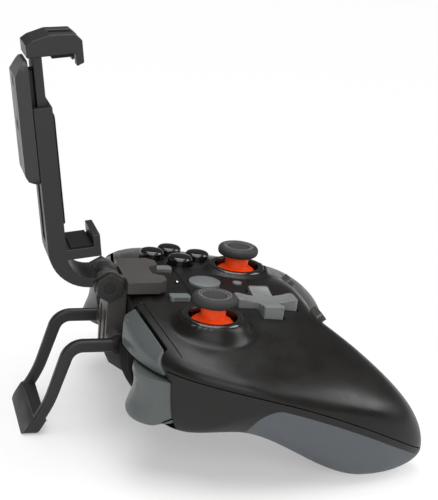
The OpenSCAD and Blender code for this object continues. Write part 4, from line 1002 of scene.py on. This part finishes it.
@dataclass
class UpperShell:
    """Upper shell with the holes for the sticks, pads and buttons."""

    form: BodyForm
    rooms: Rooms
    sticks: Sequence[Thumbstick]
    dpad_x: float = -18.9
    dpad_y: float = -20.8
    dpad_span: float = 23.0
    dpad_arm: float = 7.6
    dpad_round: float = 0.8
    dpad_gap: float = 0.65
    diamond_x: float = 34.4
    diamond_y: float = 1.8
    diamond_r: float = 9.5
    dome_r: float = 4.85
    pair_x: float = 15.6
    pair_y: float = 11.4
    pair_w: float = 4.6
    pair_l: float = 7.6
    pair_round: float = 1.2
    home_r: float = 6.1
    home_y: float = -2.0
    program_y: float = -15.0
    program_r: float = 1.8
    led_y: float = 8.8
    led_r: float = 1.0
    led_gap: float = 0.1
    gap: float = 0.4
    panel_l: float = 40.0
    panel_rear: float = 6.2
    panel_front: float = 22.0
    panel_depth: float = 0.35
    panel_round: float = 2.5
    groove_in: float = 1.7
    groove_w: float = 0.9

    def diamond(self, turn: int) -> Span:
        """Returns the place of a face button, numbered clockwise from the one farthest from the user."""
        angle = turn * math.pi / 2
        return self.diamond_x + self.diamond_r * math.sin(angle), self.diamond_y + self.diamond_r * math.cos(angle)

    def openings(self) -> list[Solid]:
        """Returns the holes in the face."""
        on_face = self.form.on_face
        span, arm = self.dpad_span + 2 * self.dpad_gap, self.dpad_arm + 2 * self.dpad_gap
        holes = [
            Solid.prism(round_rect(l, w, self.dpad_round), -DEEP, DEEP).moved(on_face(self.dpad_x, self.dpad_y))
            for l, w in ((span, arm), (arm, span))
        ]
        rounds = [(*self.diamond(i), self.dome_r + self.gap) for i in range(4)]
        for side in (-1, 1):
            outline = round_rect(self.pair_w + 2 * self.gap, self.pair_l + 2 * self.gap, self.pair_round)
            holes.append(Solid.prism(outline, -DEEP, DEEP).moved(on_face(side * self.pair_x, self.pair_y)))
        rounds.append((0, self.home_y, self.home_r + self.gap))
        rounds.append((0, self.program_y, self.program_r + self.gap))
        rounds.append((0, self.led_y, self.led_r + self.led_gap))
        return holes + [round_hole(r, -DEEP, DEEP).moved(on_face(x, y)) for x, y, r in rounds]

    def inlay(self, outline: np.ndarray) -> Solid:
        """Bed with an outline, sunk evenly below the crowned skin.

        Args:
            outline: The bed's outline seen from above.

        Returns:
            The solid that cuts the bed.
        """
        form = self.form
        x, y = form.plan(0)
        skin = form.sheet(x, y, form.top(np.abs(x), 0, y) - self.panel_depth)
        bed = Solid.prism(outline, form.seam_z, FAR).piece("bed")
        carve(bed, [Solid.pillow(skin, form.sheet(x, y, form.belly_z))])
        return Solid.taken(bed)

    def inlays(self) -> list[Solid]:
        """Returns the panel round the small buttons and the grooves behind the bumpers."""
        rooms = self.rooms
        panel = round_rect(self.panel_l, self.panel_front - self.panel_rear, self.panel_round)
        beds = [self.inlay(panel + (0, (self.panel_front + self.panel_rear) / 2))]
        x = np.linspace(rooms.recess_half - 2, rooms.bumper_out, 40)
        lines = []
        for back in (self.groove_in, self.groove_in + self.groove_w):
            lines.append(np.column_stack([x, rooms.line(x, back)]))
        beds.extend(rooms.both(self.inlay(np.concatenate([lines[1], lines[0][::-1]]))))
        return beds

    def build(self, cavity: Solid) -> bpy.types.Object:
        """Builds and dresses the shell.

        Args:
            cavity: The hollow inside the shells.

        Returns:
            The shell, riding on the body.
        """
        piece = self.form.upper_half(self.sticks).piece("upper_shell")
        rooms = self.rooms
        tools = [cavity, rooms.recess(0), rooms.pocket(0), *rooms.both(rooms.bumper(0)), *rooms.slots(0)]
        for stick in self.sticks:
            tools.extend(stick.holes(self.form))
        carve(piece, [*tools, *self.openings(), *self.inlays()])
        smooth(piece)
        UPPER_SHELL.dress(piece)
        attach(piece, "body")
        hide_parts("top_shell")
        return piece


@dataclass
class LowerShell:
    """Lower shell with its rooms, and the two grips let into its handles."""

    form: BodyForm
    rooms: Rooms
    grip_t: float = 2.0
    grip_in: float = 50.0
    grip_front: float = -12.5
    grip_round: float = 10.0
    grip_below_seam: float = 3.0
    seat_gap: float = 0.1
    ear_t: float = 2.8
    ear_mid: float = 45.75
    ear_r: float = 3.2
    label_y: float = -10.0
    label_l: float = 42.0
    label_w: float = 24.0
    label_depth: float = 0.4
    label_round: float = 2.0
    screw_spots: tuple[tuple[float, float], ...] = ((24, 20.5), (42, -44))
    screw_head_r: float = 2.0
    screw_seat: float = 8.0
    port_x: float = 13.5
    port_z: float = 28.4
    port_w: float = 9.0
    port_h: float = 3.3
    port_round: float = 1.7
    port_reach: float = 15.0
    boss_x: float = 25.0
    boss_y: float = 30.2
    boss_r: float = 2.9
    boss_h: float = 8.0
    # Zone of the painted shade on the front between the triggers.
    shade_y: float = 24.0
    shade_past: float = 0.5

    def zone(self, e: float) -> Solid:
        """Returns the block that holds the right grip, grown by e."""
        last = self.form.tip_y - 1
        y = np.linspace(last, self.grip_front, 49)[:-1]
        top = np.column_stack([y, self.form.seam(y) - self.grip_below_seam + e])
        level = float(self.form.seam(self.grip_front)) - self.grip_below_seam - self.grip_round
        corner = arc((self.grip_front, level), self.grip_round + e, 90, 0, 24)
        outline = np.concatenate([top, corner, [(self.grip_front + self.grip_round + e, -FAR), (last, -FAR)]])
        return Solid.across(outline, FAR / 2, self.grip_in - e + FAR / 2)

    def ear(self) -> Solid:
        """Returns the ear that carries the right trigger's pin."""
        rooms = self.rooms
        back = rooms.trigger_y - rooms.trigger_room - rooms.wall / 2
        nose = arc((rooms.trigger_y, rooms.trigger_z), self.ear_r, -90, 90, 24)
        outline = np.concatenate([nose, [(back, rooms.trigger_z + self.ear_r), (back, rooms.trigger_z - self.ear_r)]])
        return Solid.across(outline, self.ear_t / 2, self.ear_mid)

    def build(self, cavity: Solid) -> bpy.types.Object:
        """Builds and dresses the shell.

        Args:
            cavity: The hollow inside the shells.

        Returns:
            The shell, riding on the body.
        """
        form, rooms = self.form, self.rooms
        piece = form.lower_half().piece("lower_shell")
        carve(piece, [cavity, rooms.recess(0), *rooms.both(rooms.bumper(0)), *rooms.both(rooms.trigger(0))])
        boss_top = rooms.bumper_low - rooms.bumper_gap
        boss = round_hole(self.boss_r, boss_top - self.boss_h, boss_top).moved(at((self.boss_x, self.boss_y, 0)))
        carve(piece, [*rooms.both(self.ear()), *rooms.both(boss)], Cut.JOIN)
        grip_bed = self.zone(self.seat_gap).piece("grip_bed")
        carve(grip_bed, [form.whole(self.grip_t + self.seat_gap)])
        bed = Solid.taken(grip_bed)
        tools = [*rooms.both(bed), *rooms.both(rooms.well(0))]
        for x, y in self.screw_spots:
            seat = float(form.seam(y)) - self.screw_seat
            tools.extend(rooms.both(round_hole(self.screw_head_r + self.seat_gap, 0, seat).moved(at((x, y, 0)))))
        outline = round_rect(self.label_l, self.label_w, self.label_round) + (0, self.label_y)
        tools.append(Solid.prism(outline, 0, form.belly_z + self.label_depth))
        slot = round_rect(self.port_w + 2 * self.seat_gap, self.port_h + 2 * self.seat_gap, self.port_round)
        port = at((self.port_x, rooms.recess_y, self.port_z), 90)
        tools.append(Solid.prism(slot, -self.port_reach, self.port_reach).moved(port))
        carve(piece, tools)
        smooth(piece)
        LOWER_SHELL.dress(piece)
        self.paint_front_shade(piece)
        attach(piece, "body")
        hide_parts("bottom_shell")
        return piece

    def paint_front_shade(self, piece: bpy.types.Object) -> None:
        """Gives the shell's front between the triggers a darker matt finish as painted shade, where shade falls under
        the bumpers and body.

        Args:
            piece: The lower shell.
        """
        # Painted shade: the front faces between the triggers get the darker matt material.
        piece.data.materials.append(PAINTED_SHADE_PLASTIC.material())
        for face in piece.data.polygons:
            x, y, _ = face.center / MM
            if abs(x) < self.rooms.trigger_in + self.shade_past and y > self.shade_y:
                face.material_index = 1

    def grip(self, side: str) -> bpy.types.Object:
        """Builds and dresses the grip skin of one handle.

        Args:
            side: The handle's side, left or right.

        Returns:
            The grip, riding on the body.
        """
        piece = self.form.lower_half().piece(f"{side}_grip_skin")
        carve(piece, [self.form.whole(self.grip_t)])
        carve(piece, on_side(side, [self.zone(0)]), Cut.KEEP)
        smooth(piece)
        GRIP_RUBBER.dress(piece)
        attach(piece, "body")
        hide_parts(f"{side}_grip")
        return piece


@dataclass
class ShoulderBumper:
    """Bumper cut from the front corner of the body."""

    form: BodyForm
    rooms: Rooms
    side: str
    pin_x: float = 25.0
    pin_y: float = 31.2
    pin_r: float = 1.55
    pin_h: float = 9.0
    crest_in: float = 2.05
    crest_end: float = 55.0
    inner_round: float = 7.5
    inner_drop: float = 2.2
    crest_power: float = 2.5
    crown_back: float = 5.0
    crown_ahead: float = 30.0

    def past_end(self) -> Solid:
        """Returns the solid before the right bumper's inner end, which leaves that end rounded."""
        x = np.linspace(self.rooms.bumper_in - 1, self.rooms.bumper_in + self.inner_round, 24)
        into = 1 - (x - self.rooms.bumper_in) / self.inner_round
        y = self.form.front(x, 0) + 2 * HAIR - self.inner_drop * np.clip(into, 0, None) ** 2
        ends = [(x[-1], FAR), (x[0], FAR)]
        return Solid.prism(np.concatenate([np.column_stack([x, y]), ends]), 0, FAR)

    def above_crown(self) -> Solid:
        """Returns the solid above the right bumper's flat crown, which leaves a crisp crest before it."""
        form, rooms = self.form, self.rooms
        x = np.linspace(rooms.bumper_in - 1, rooms.bumper_out + 1, 61)
        rear = rooms.line(x)
        fade = np.clip((x - rooms.bumper_in) / (self.crest_end - rooms.bumper_in), 0, 1) ** self.crest_power
        crest = form.front(x, 0) - self.crest_in * (1 - fade)
        high = form.top(x, 0, rear)
        fall = (form.top(x, 0, crest) - high) / (crest - rear)
        (y0, z0), (y1, z1) = ((rear + d, high + d * fall) for d in (-self.crown_back, self.crown_ahead))
        roof = np.full_like(x, FAR)
        edges = [np.column_stack([x, y, z]) for y, z in ((y0, z0), (y1, z1), (y1, roof), (y0, roof))]
        return Solid.loft(np.stack(edges, axis=1))

    def build(self) -> bpy.types.Object:
        """Builds and dresses the bumper.

        Returns:
            The bumper, riding on its own body.
        """
        rooms = self.rooms
        block = rooms.bumper_block(rooms.bumper_in, rooms.bumper_low + rooms.bumper_gap / 2, -rooms.bumper_gap)
        bore = round_hole(self.pin_r, 0, rooms.bumper_low + self.pin_h).moved(at((self.pin_x, self.pin_y, 0)))
        piece = self.form.whole(0).piece(f"{self.side}_bumper_lever")
        carve(piece, on_side(self.side, [block]), Cut.KEEP)
        carve(piece, on_side(self.side, [bore, self.above_crown(), self.past_end()]))
        smooth(piece, 24)
        BUMPER_PLASTIC.dress(piece)
        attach(piece, f"{self.side}_bumper")
        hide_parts(f"{self.side}_bumper")
        return piece


@dataclass
class ShoulderTrigger:
    """Trigger with a hollow front, drawn back towards both sides."""

    rooms: Rooms
    side: str
    reach: float = 11.5
    tip_z: float = -11.3
    tip_r: float = 1.7
    brow_in: float = 2.2
    brow_drop: float = -0.6
    dent_r: float = 13.0
    dent_out: float = 10.4
    dent_drop: float = 2.0
    plan_r: float = 80.0
    plan_shift: float = 3.0
    outer_round: float = 10.0
    outer_drop: float = 8.5
    inner_round: float = 15.0
    inner_drop: float = 7.5
    edge: float = 0.9
    ear_t: float = 2.8
    ear_gap: float = 0.6
    ear_r: float = 3.2
    skin: float = 1.8
    pin_r: float = 1.55
    pin_past: float = 8.4
    bore_past: float = 2.0
    hub_span: Span = (150, 90)
    dent_span: Span = (160, 207)
    tip_span: Span = (20, -50)
    belly_span: Span = (-74, -140)

    def profile(self) -> np.ndarray:
        """Returns the side profile about the pivot, as (y, z) points."""
        rooms = self.rooms
        parts = [
            arc((0, 0), rooms.trigger_hub, *self.hub_span, 12),
            [(self.reach - self.brow_in, rooms.trigger_hub - self.brow_drop)],
            arc((self.reach + self.dent_out, -self.dent_drop), self.dent_r, *self.dent_span, 24),
            arc((self.reach - self.tip_r, self.tip_z), self.tip_r, *self.tip_span, 10),
            arc((0, 0), rooms.trigger_drop, *self.belly_span, 32),
        ]
        return np.concatenate(parts)

    def ring(self, x: float, profile: np.ndarray, normals: np.ndarray) -> np.ndarray:
        """Section of the trigger at a side place.

        Args:
            x: The side place.
            profile: The side profile.
            normals: The profile's outward directions.

        Returns:
            The section's points.
        """
        rooms = self.rooms
        middle = (rooms.trigger_in + rooms.trigger_out) / 2 - self.plan_shift
        back = self.plan_r - math.sqrt(self.plan_r**2 - (x - middle) ** 2)
        out = max((x - rooms.trigger_out + self.outer_round) / self.outer_round, 0.0)
        into = max((rooms.trigger_in + self.inner_round - x) / self.inner_round, 0.0)
        for share, drop in ((out, self.outer_drop), (into, self.inner_drop)):
            back += drop * (1 - math.sqrt(max(1 - share**2, 0)))
        near = min(x - rooms.trigger_in, rooms.trigger_out - x, self.edge)
        inset = self.edge - math.sqrt(self.edge**2 - (self.edge - near) ** 2)
        points = profile - normals * inset
        ahead = points[:, 0] > 0
        points[ahead, 0] *= (self.reach - back) / self.reach
        return np.column_stack([np.full(len(points), x), points + (rooms.trigger_y, rooms.trigger_z)])

    def build(self) -> bpy.types.Object:
        """Builds and dresses the trigger.

        Returns:
            The trigger, riding on its own body.
        """
        rooms = self.rooms
        profile = self.profile()
        lead = np.roll(profile, -1, axis=0) - np.roll(profile, 1, axis=0)
        lead /= np.linalg.norm(lead, axis=1)[:, None]
        normals = np.column_stack([-lead[:, 1], lead[:, 0]])
        turn = (1 - np.cos(np.linspace(0, np.pi, 81))) / 2
        places = mix(rooms.trigger_in, rooms.trigger_out, turn)
        solid = Solid.loft([self.ring(float(x), profile, normals) for x in places])
        pivot = (rooms.trigger_y, rooms.trigger_z)
        middle = (rooms.trigger_in + rooms.trigger_out) / 2
        radius = rooms.trigger_drop - self.skin
        mouth = math.degrees(math.acos((self.ear_r + self.ear_gap) / radius))
        slot = Solid.across(arc(pivot, radius, mouth, 360 - mouth, 48), self.ear_t / 2 + self.ear_gap, middle)
        first = rooms.trigger_in - self.bore_past
        half = (middle + self.pin_past - first) / 2
        bore = Solid.across(circle(pivot, self.pin_r, 32), half, first + half)
        solid, *tools = on_side(self.side, [solid, slot, bore])
        piece = carve(solid.piece(f"{self.side}_trigger_lever"), tools)
        smooth(piece)
        BUMPER_PLASTIC.dress(piece)
        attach(piece, f"{self.side}_trigger")
        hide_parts(f"{self.side}_trigger")
        return piece


@dataclass
class FoldStand:
    """Fold-out stand: two bent legs that end in one foot bar."""

    pivot_y: float = 33.4
    pivot_z: float = 34.8
    width: float = 34.4
    leg_w: float = 3.4
    leg_d: float = 4.8
    leg_end_d: float = 3.9
    run: float = 12.9
    bend_r: float = 6.6
    slope: float = 73.0
    kick_z: float = 13.0
    kick_slope: float = 60.0
    kick_ease: float = 5.0
    foot_h: float = 7.0
    foot_low: float = 3.5
    foot_round: float = 2.6
    foot_cap: float = 1.0
    eye_r: float = 3.2
    bore_r: float = 2.05
    edge: float = 1.1

    def line(self) -> np.ndarray:
        """Returns the legs' middle line as (y, z) points, from the pivot to the floor."""
        bend = (self.pivot_y + self.run, self.pivot_z - self.bend_r)
        curve = arc(bend, self.bend_r, 90, 90 - self.slope, 36)
        slope, kick = math.radians(self.slope), math.radians(self.kick_slope)
        mitre = (slope + kick) / 2
        back = np.array([math.sin(mitre), math.cos(mitre)]) * self.leg_d / 2 / math.cos((slope - kick) / 2)
        edge = arc(bend, self.bend_r + self.leg_d / 2, 90 - self.slope, 0, 1)[0]
        turn = np.array([edge[0] + (edge[1] - self.kick_z) / math.tan(slope), self.kick_z]) - back
        down = np.array([math.cos(slope), -math.sin(slope)])
        out = np.array([math.cos(kick), -math.sin(kick)])
        foot = turn + out * turn[1] / math.sin(kick)
        t = np.linspace(0, 1, 13)[:, None]
        first, last = turn - down * self.kick_ease, turn + out * self.kick_ease
        knee = first * (1 - t) ** 2 + 2 * turn * t * (1 - t) + last * t**2
        run = np.column_stack([np.linspace(self.pivot_y, bend[0], 9)[:-1], np.full(8, self.pivot_z)])
        drop = mix(curve[-1], first, np.linspace(0, 1, 7)[1:-1, None])
        tail = mix(last, foot, np.linspace(0, 1, 9)[1:, None])
        return np.concatenate([run, curve, drop, knee, tail])

    def foot(self) -> Solid:
        """Returns the foot bar with rounded ends."""
        kick = math.radians(self.kick_slope)
        ground = self.line()[-1]
        half = self.leg_d / 2 / math.sin(kick)
        cap, top = self.foot_cap, self.foot_h
        corners = [(half, 0), (half, top - cap), (half - cap, top), (cap - half, top), (-half, top - cap), (-half, 0)]
        outline = np.array([(y - z / math.tan(kick), z) for y, z in corners])
        bar = Solid.across(outline + (ground[0], 0), self.width / 2).piece("foot_bar")
        face = round_rect(self.width, self.foot_h * 2, self.foot_round)
        rings = [np.column_stack([face[:, 0], np.full(len(face), y), face[:, 1] + self.foot_h]) for y in (0, FAR)]
        carve(bar, [Solid.loft(rings)], Cut.KEEP)
        return Solid.taken(bar)

    def build(self) -> bpy.types.Object:
        """Builds and dresses the stand.

        Returns:
            The stand, riding on its own body.
        """
        line = self.line()
        line = line[line[:, 1] > self.foot_low]
        depth = np.interp(line[:, 1], [self.foot_low, self.pivot_z], [self.leg_end_d, self.leg_d])
        middle = (self.width - self.leg_w) / 2
        pivot = (self.pivot_y, self.pivot_z)
        tools = []
        for side in (-middle, middle):
            tools.append(Solid.bar(line, side, self.leg_w, depth, self.edge))
            tools.append(Solid.across(circle(pivot, self.eye_r, 64), self.leg_w / 2, side))
        piece = carve(self.foot().piece("stand_frame"), tools, Cut.JOIN)
        carve(piece, [Solid.across(circle(pivot, self.bore_r, 48), FAR / 2)])
        smooth(piece, 36)
        CLIP_PLASTIC.dress(piece)
        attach(piece, "stand")
        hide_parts("stand")
        return piece


@dataclass
class FaceButton:
    """Domed button of the diamond, with a collar that holds it in the shell."""

    form: BodyForm
    shell: UpperShell
    name: str
    turn: int
    height: float = 3.9
    crown: float = 1.5
    edge: float = 0.8
    low: float = -9.2
    stop: float = -5.6
    stop_h: float = 1.0
    stop_w: float = 1.1
    edge_turn: float = 62.0

    def build(self) -> bpy.types.Object:
        """Builds and dresses the button.

        Returns:
            The button, riding on its own body.
        """
        shell = self.shell
        x, y = shell.diamond(self.turn)
        sunk = float(self.form.face(y) - self.form.top(np.array(abs(x)), 0, np.array(y)))
        r, shoulder = shell.dome_r, self.height - self.crown - sunk
        stop = self.stop - sunk
        out = r + self.stop_w
        foot = [(0, self.low), (r, self.low), (r, stop), (out, stop), (out, stop + self.stop_h)]
        edge = arc((r - self.edge, shoulder), self.edge, 0, self.edge_turn, 8)
        wall = np.concatenate([[(r, stop + self.stop_h)], edge])
        rim = wall[-1]
        t = np.linspace(0, np.pi / 2, 16)[1:]
        crown = np.column_stack([rim[0] * np.cos(t), rim[1] + (shoulder + self.crown - rim[1]) * np.sin(t)])
        crown[-1, 0] = 0
        solid = Solid.lathe(np.concatenate([foot, wall, crown]), 72)
        piece = solid.moved(self.form.on_face(x, y)).piece(f"{self.name}_dome")
        smooth(piece, 45)
        GLOSS_BLACK.dress(piece)
        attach(piece, f"{self.name}_button")
        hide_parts(f"{self.name}_button")
        return piece


@dataclass
class StatusBar:
    """Small bright bar in the status light's dark lens."""

    form: BodyForm
    shell: UpperShell
    length: float = 1.35
    width: float = 0.6
    depth: float = 0.5
    proud: float = 0.06
    taper: float = 0.8

    def build(self) -> bpy.types.Object:
        """Builds and dresses the bar.

        Returns:
            The bar, riding on the body.
        """
        _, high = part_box("status_light")
        top = high[2] / MM - float(self.form.face(self.shell.led_y))
        outline = round_rect(self.length, self.width, self.width / 2 - 2 * HAIR)
        rings = [(1.0, top - self.depth), (1.0, top), (self.taper, top + self.proud)]
        solid = Solid.loft([np.column_stack([outline * k, np.full(len(outline), z)]) for k, z in rings])
        piece = solid.moved(self.form.on_face(0, self.shell.led_y)).piece("status_bar")
        smooth(piece, 40)
        LIGHT.dress(piece)
        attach(piece, "body")
        return piece


@dataclass(frozen=True)
class KeptNode:
    """CAD node that stays, with its finish and the round of its edges."""

    node: str
    finish: Finish
    round_mm: float = 0.25

    def dress(self) -> bpy.types.Object:
        """Returns the node's object with its finish on and its edges eased."""
        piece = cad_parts[self.node]
        if self.round_mm:
            ease(piece, self.round_mm)
        return self.finish.dress(piece)


KEPT = tuple(
    KeptNode(node, finish, round_mm)
    for finish, round_mm, nodes in (
        (RING_BLACK, 0.3, "left_stick_ring right_stick_ring"),
        (STEEL, 0.2, "left_stick_module right_stick_module bumper_pins trigger_pins shell_screws slider_screws"),
        (STEEL, 0.15, "left_stick_post right_stick_post"),
        (STEEL, 0.08, "charging_port"),
        (STEEL, 0.0, "clip_spring"),
        (DARK_STEEL, 0.3, "clip_hinge_pin stand_pin"),
        (GLOSS_BLACK, 0.15, "left_stick_yoke right_stick_yoke"),
        (GLOSS_BLACK, 0.2, "dpad_rocker"),
        (GLOSS_BLACK, 0.1, "status_light"),
        (GLOSS_BLACK, 0.4, "left_rear_button right_rear_button"),
        (PAD_PLASTIC, 0.8, "dpad"),
        (GREY_PLASTIC, 0.35, "view_button menu_button home_button program_button"),
        (SWITCH_PLASTIC, 0.3, "slide_switch bar_button"),
        (BOARD, 0.1, "main_board"),
        (MAT_RUBBER, 0.1, "button_mat"),
        (CELL_WRAP, 0.8, "battery"),
        # The clip's base gets the lighter plastic as painted light.
        (LIT_BASE_PLASTIC, 0.35, "clip_base"),
        (CLIP_PLASTIC, 0.3, "clip_hinge_nuts"),
        (CLIP_PLASTIC, 0.5, "clip_arm"),
        (CLIP_PLASTIC, 0.4, "clip_slider"),
        (COVER_PLASTIC, 0.9, "slider_cover"),
        (PAD_RUBBER, 0.25, "lower_jaw_pad back_pad upper_jaw_pad"),
    )
    for node in nodes.split()
)


@dataclass
class Studio:
    """White floor, soft lights and the camera."""

    eye: Point = (-442.585, 124.772, 216.133)
    yaw: float = 16.535
    pitch: float = 17.988
    roll: float = 4.999
    focal_px: float = 1276.178
    long_side_px: float = 500.0
    sensor: float = 36.0
    # The floor's glow share near the object and far from it, and where it fades: less glow near the object paints the
    # floor there a little darker, beside its real shadow.
    glow_near: float = 0.36
    glow_far: float = 0.98
    near_m: float = 0.065
    far_m: float = 0.13
    floor_r: float = 9000.0
    floor_white: float = 0.86
    side_span: Span = (-0.8, 0.8)
    side_light: Span = (0.42, 0.12)
    band_span: Span = (0.0, 0.06)

    def camera(self) -> bpy.types.Object:
        """Builds the camera at the photograph's place.

        Returns:
            The camera, set as the scene's own.
        """
        yaw, pitch, roll = (math.radians(v) for v in (self.yaw, self.pitch, self.roll))
        ahead = Vector((math.cos(pitch) * math.cos(yaw), -math.cos(pitch) * math.sin(yaw), -math.sin(pitch)))
        right = Vector((-math.sin(yaw), -math.cos(yaw), 0))
        up = right.cross(ahead)
        across = math.cos(roll) * right + math.sin(roll) * up
        over = -math.sin(roll) * right + math.cos(roll) * up
        data = bpy.data.cameras.new("photo_camera")
        data.sensor_width = self.sensor
        data.lens = self.focal_px * self.sensor / self.long_side_px
        data.clip_start = 0.01
        data.clip_end = 100
        obj = bpy.data.objects.new("photo_camera", data)
        turn = Matrix((across, over, -ahead)).transposed().to_4x4()
        obj.matrix_world = Matrix.Translation(Vector(self.eye) * MM) @ turn
        bpy.context.scene.collection.objects.link(obj)
        bpy.context.scene.camera = obj
        return obj

    def lamp(self, name: str, place: Point, aim: Point, size: tuple[float, float], watts: float) -> None:
        """Adds a soft box.

        Args:
            name: The lamp's name.
            place: Where it hangs, in metres.
            aim: The point it looks at, in metres.
            size: Its width and height, in metres.
            watts: Its power.
        """
        data = bpy.data.lights.new(name, "AREA")
        data.shape = "RECTANGLE"
        data.size, data.size_y = size
        data.energy = watts
        obj = bpy.data.objects.new(name, data)
        obj.location = place
        obj.rotation_euler = (Vector(aim) - Vector(place)).to_track_quat("-Z", "Y").to_euler()
        bpy.context.scene.collection.objects.link(obj)

    def lights(self) -> None:
        """Hangs the soft boxes round the object."""
        aim = (0.0, 0.0, 0.05)
        self.lamp("top_box", (-0.1, 0.05, 1.0), aim, (0.9, 0.9), 8.5)
        self.lamp("near_box", (-0.95, 0.25, 0.5), aim, (1.0, 0.8), 5.5)
        self.lamp("far_box", (0.45, -0.1, 0.95), aim, (0.5, 0.5), 2.6)
        self.lamp("rear_box", (-0.1, -0.88, 0.65), aim, (0.5, 0.55), 4.4)

    def world(self) -> None:
        """Makes the surroundings: white at the horizon, brighter before the object, on the camera's side, than behind
        it.
        """
        world = bpy.data.worlds.new("white_room")
        bpy.context.scene.world = world
        world.use_nodes = True
        world.node_tree.nodes.clear()
        nodes = Nodes(world.node_tree)
        way = nodes.add("ShaderNodeTexCoord", {})["Generated"]
        parts = nodes.add("ShaderNodeSeparateXYZ", {"Vector": way})
        side = nodes.ramp(parts["X"], self.side_span, self.side_light)
        band = nodes.ramp(parts["Z"], self.band_span, (1.0, 0.0))
        room = nodes.add("ShaderNodeBackground", {"Strength": nodes.math("MAXIMUM", side, band)})
        nodes.add("ShaderNodeOutputWorld", {"Surface": room["Background"]})

    def floor(self) -> bpy.types.Object:
        """Builds the floor. Its glow fades towards the object, so round the object the floor is painted a little
        darker and shows its lamp-lit shading and real shadow.

        Returns:
            The floor.
        """
        rim = circle((0, 0), self.floor_r * MM, 64)
        mesh = bpy.data.meshes.new("floor")
        mesh.from_pydata([(x, y, 0) for x, y in rim.tolist()], [], [tuple(range(len(rim)))])
        obj = bpy.data.objects.new("floor", mesh)
        bpy.context.scene.collection.objects.link(obj)
        mat = bpy.data.materials.new("white_floor")
        mat.use_nodes = True
        mat.node_tree.nodes.clear()
        nodes = Nodes(mat.node_tree)
        path = nodes.add("ShaderNodeLightPath", {})
        seen = path["Is Camera Ray"]
        for ray in ("Is Glossy Ray", "Is Transmission Ray"):
            seen = nodes.math("MAXIMUM", seen, path[ray])
        spot = nodes.add("ShaderNodeTexCoord", {})["Object"]
        away = nodes.add("ShaderNodeVectorMath", {0: spot}, operation="LENGTH")["Value"]
        # Painted shade: the glow fades towards the object, so the floor near it is darker on top of its real shadow.
        span = nodes.ramp(away, (self.near_m, self.far_m), (self.glow_near, self.glow_far))
        paint = nodes.add("ShaderNodeBsdfDiffuse", {"Color": (self.floor_white,) * 3 + (1,)})["BSDF"]
        glow = nodes.add("ShaderNodeEmission", {"Color": (1, 1, 1, 1)})["Emission"]
        blend = {"Fac": nodes.math("MULTIPLY", seen, span), 1: paint, 2: glow}
        mixed = nodes.add("ShaderNodeMixShader", blend)["Shader"]
        nodes.add("ShaderNodeOutputMaterial", {"Surface": mixed})
        mesh.materials.append(mat)
        return obj

    def build(self) -> None:
        """Sets up the view, the lights and the floor."""
        bpy.context.scene.view_settings.view_transform = "Standard"
        self.camera()
        self.lights()
        self.world()
        self.floor()


def main() -> None:
    """Builds the pad, its controls, the clip and the stand, and then the studio."""
    logging.basicConfig(level=logging.INFO, format="%(name)s: %(message)s")
    Studio().build()
    form = BodyForm()
    rooms = Rooms(form)
    sticks = (Thumbstick("left", -37.5, 4.7), Thumbstick("right", 18.4, -19.8))
    cavity = rooms.cavity()
    upper = UpperShell(form, rooms, sticks)
    pieces = [upper.build(cavity), StatusBar(form, upper).build()]
    lower = LowerShell(form, rooms)
    pieces.append(lower.build(cavity))
    for side in SIDES:
        pieces.append(lower.grip(side))
        pieces.append(ShoulderBumper(form, rooms, side).build())
        pieces.append(ShoulderTrigger(rooms, side).build())
    for stick in sticks:
        pieces.extend([stick.cap(form), stick.stem(form)])
    pieces.extend(FaceButton(form, upper, name, turn).build() for turn, name in enumerate("ybax"))
    pieces.append(FoldStand().build())
    pieces.extend(kept.dress() for kept in KEPT)
    for piece in pieces:
        LOG.info("%s: %d faces, %s", piece.name, len(piece.data.polygons), piece.data.materials[0].name)


if __name__ == "__main__":
    main()
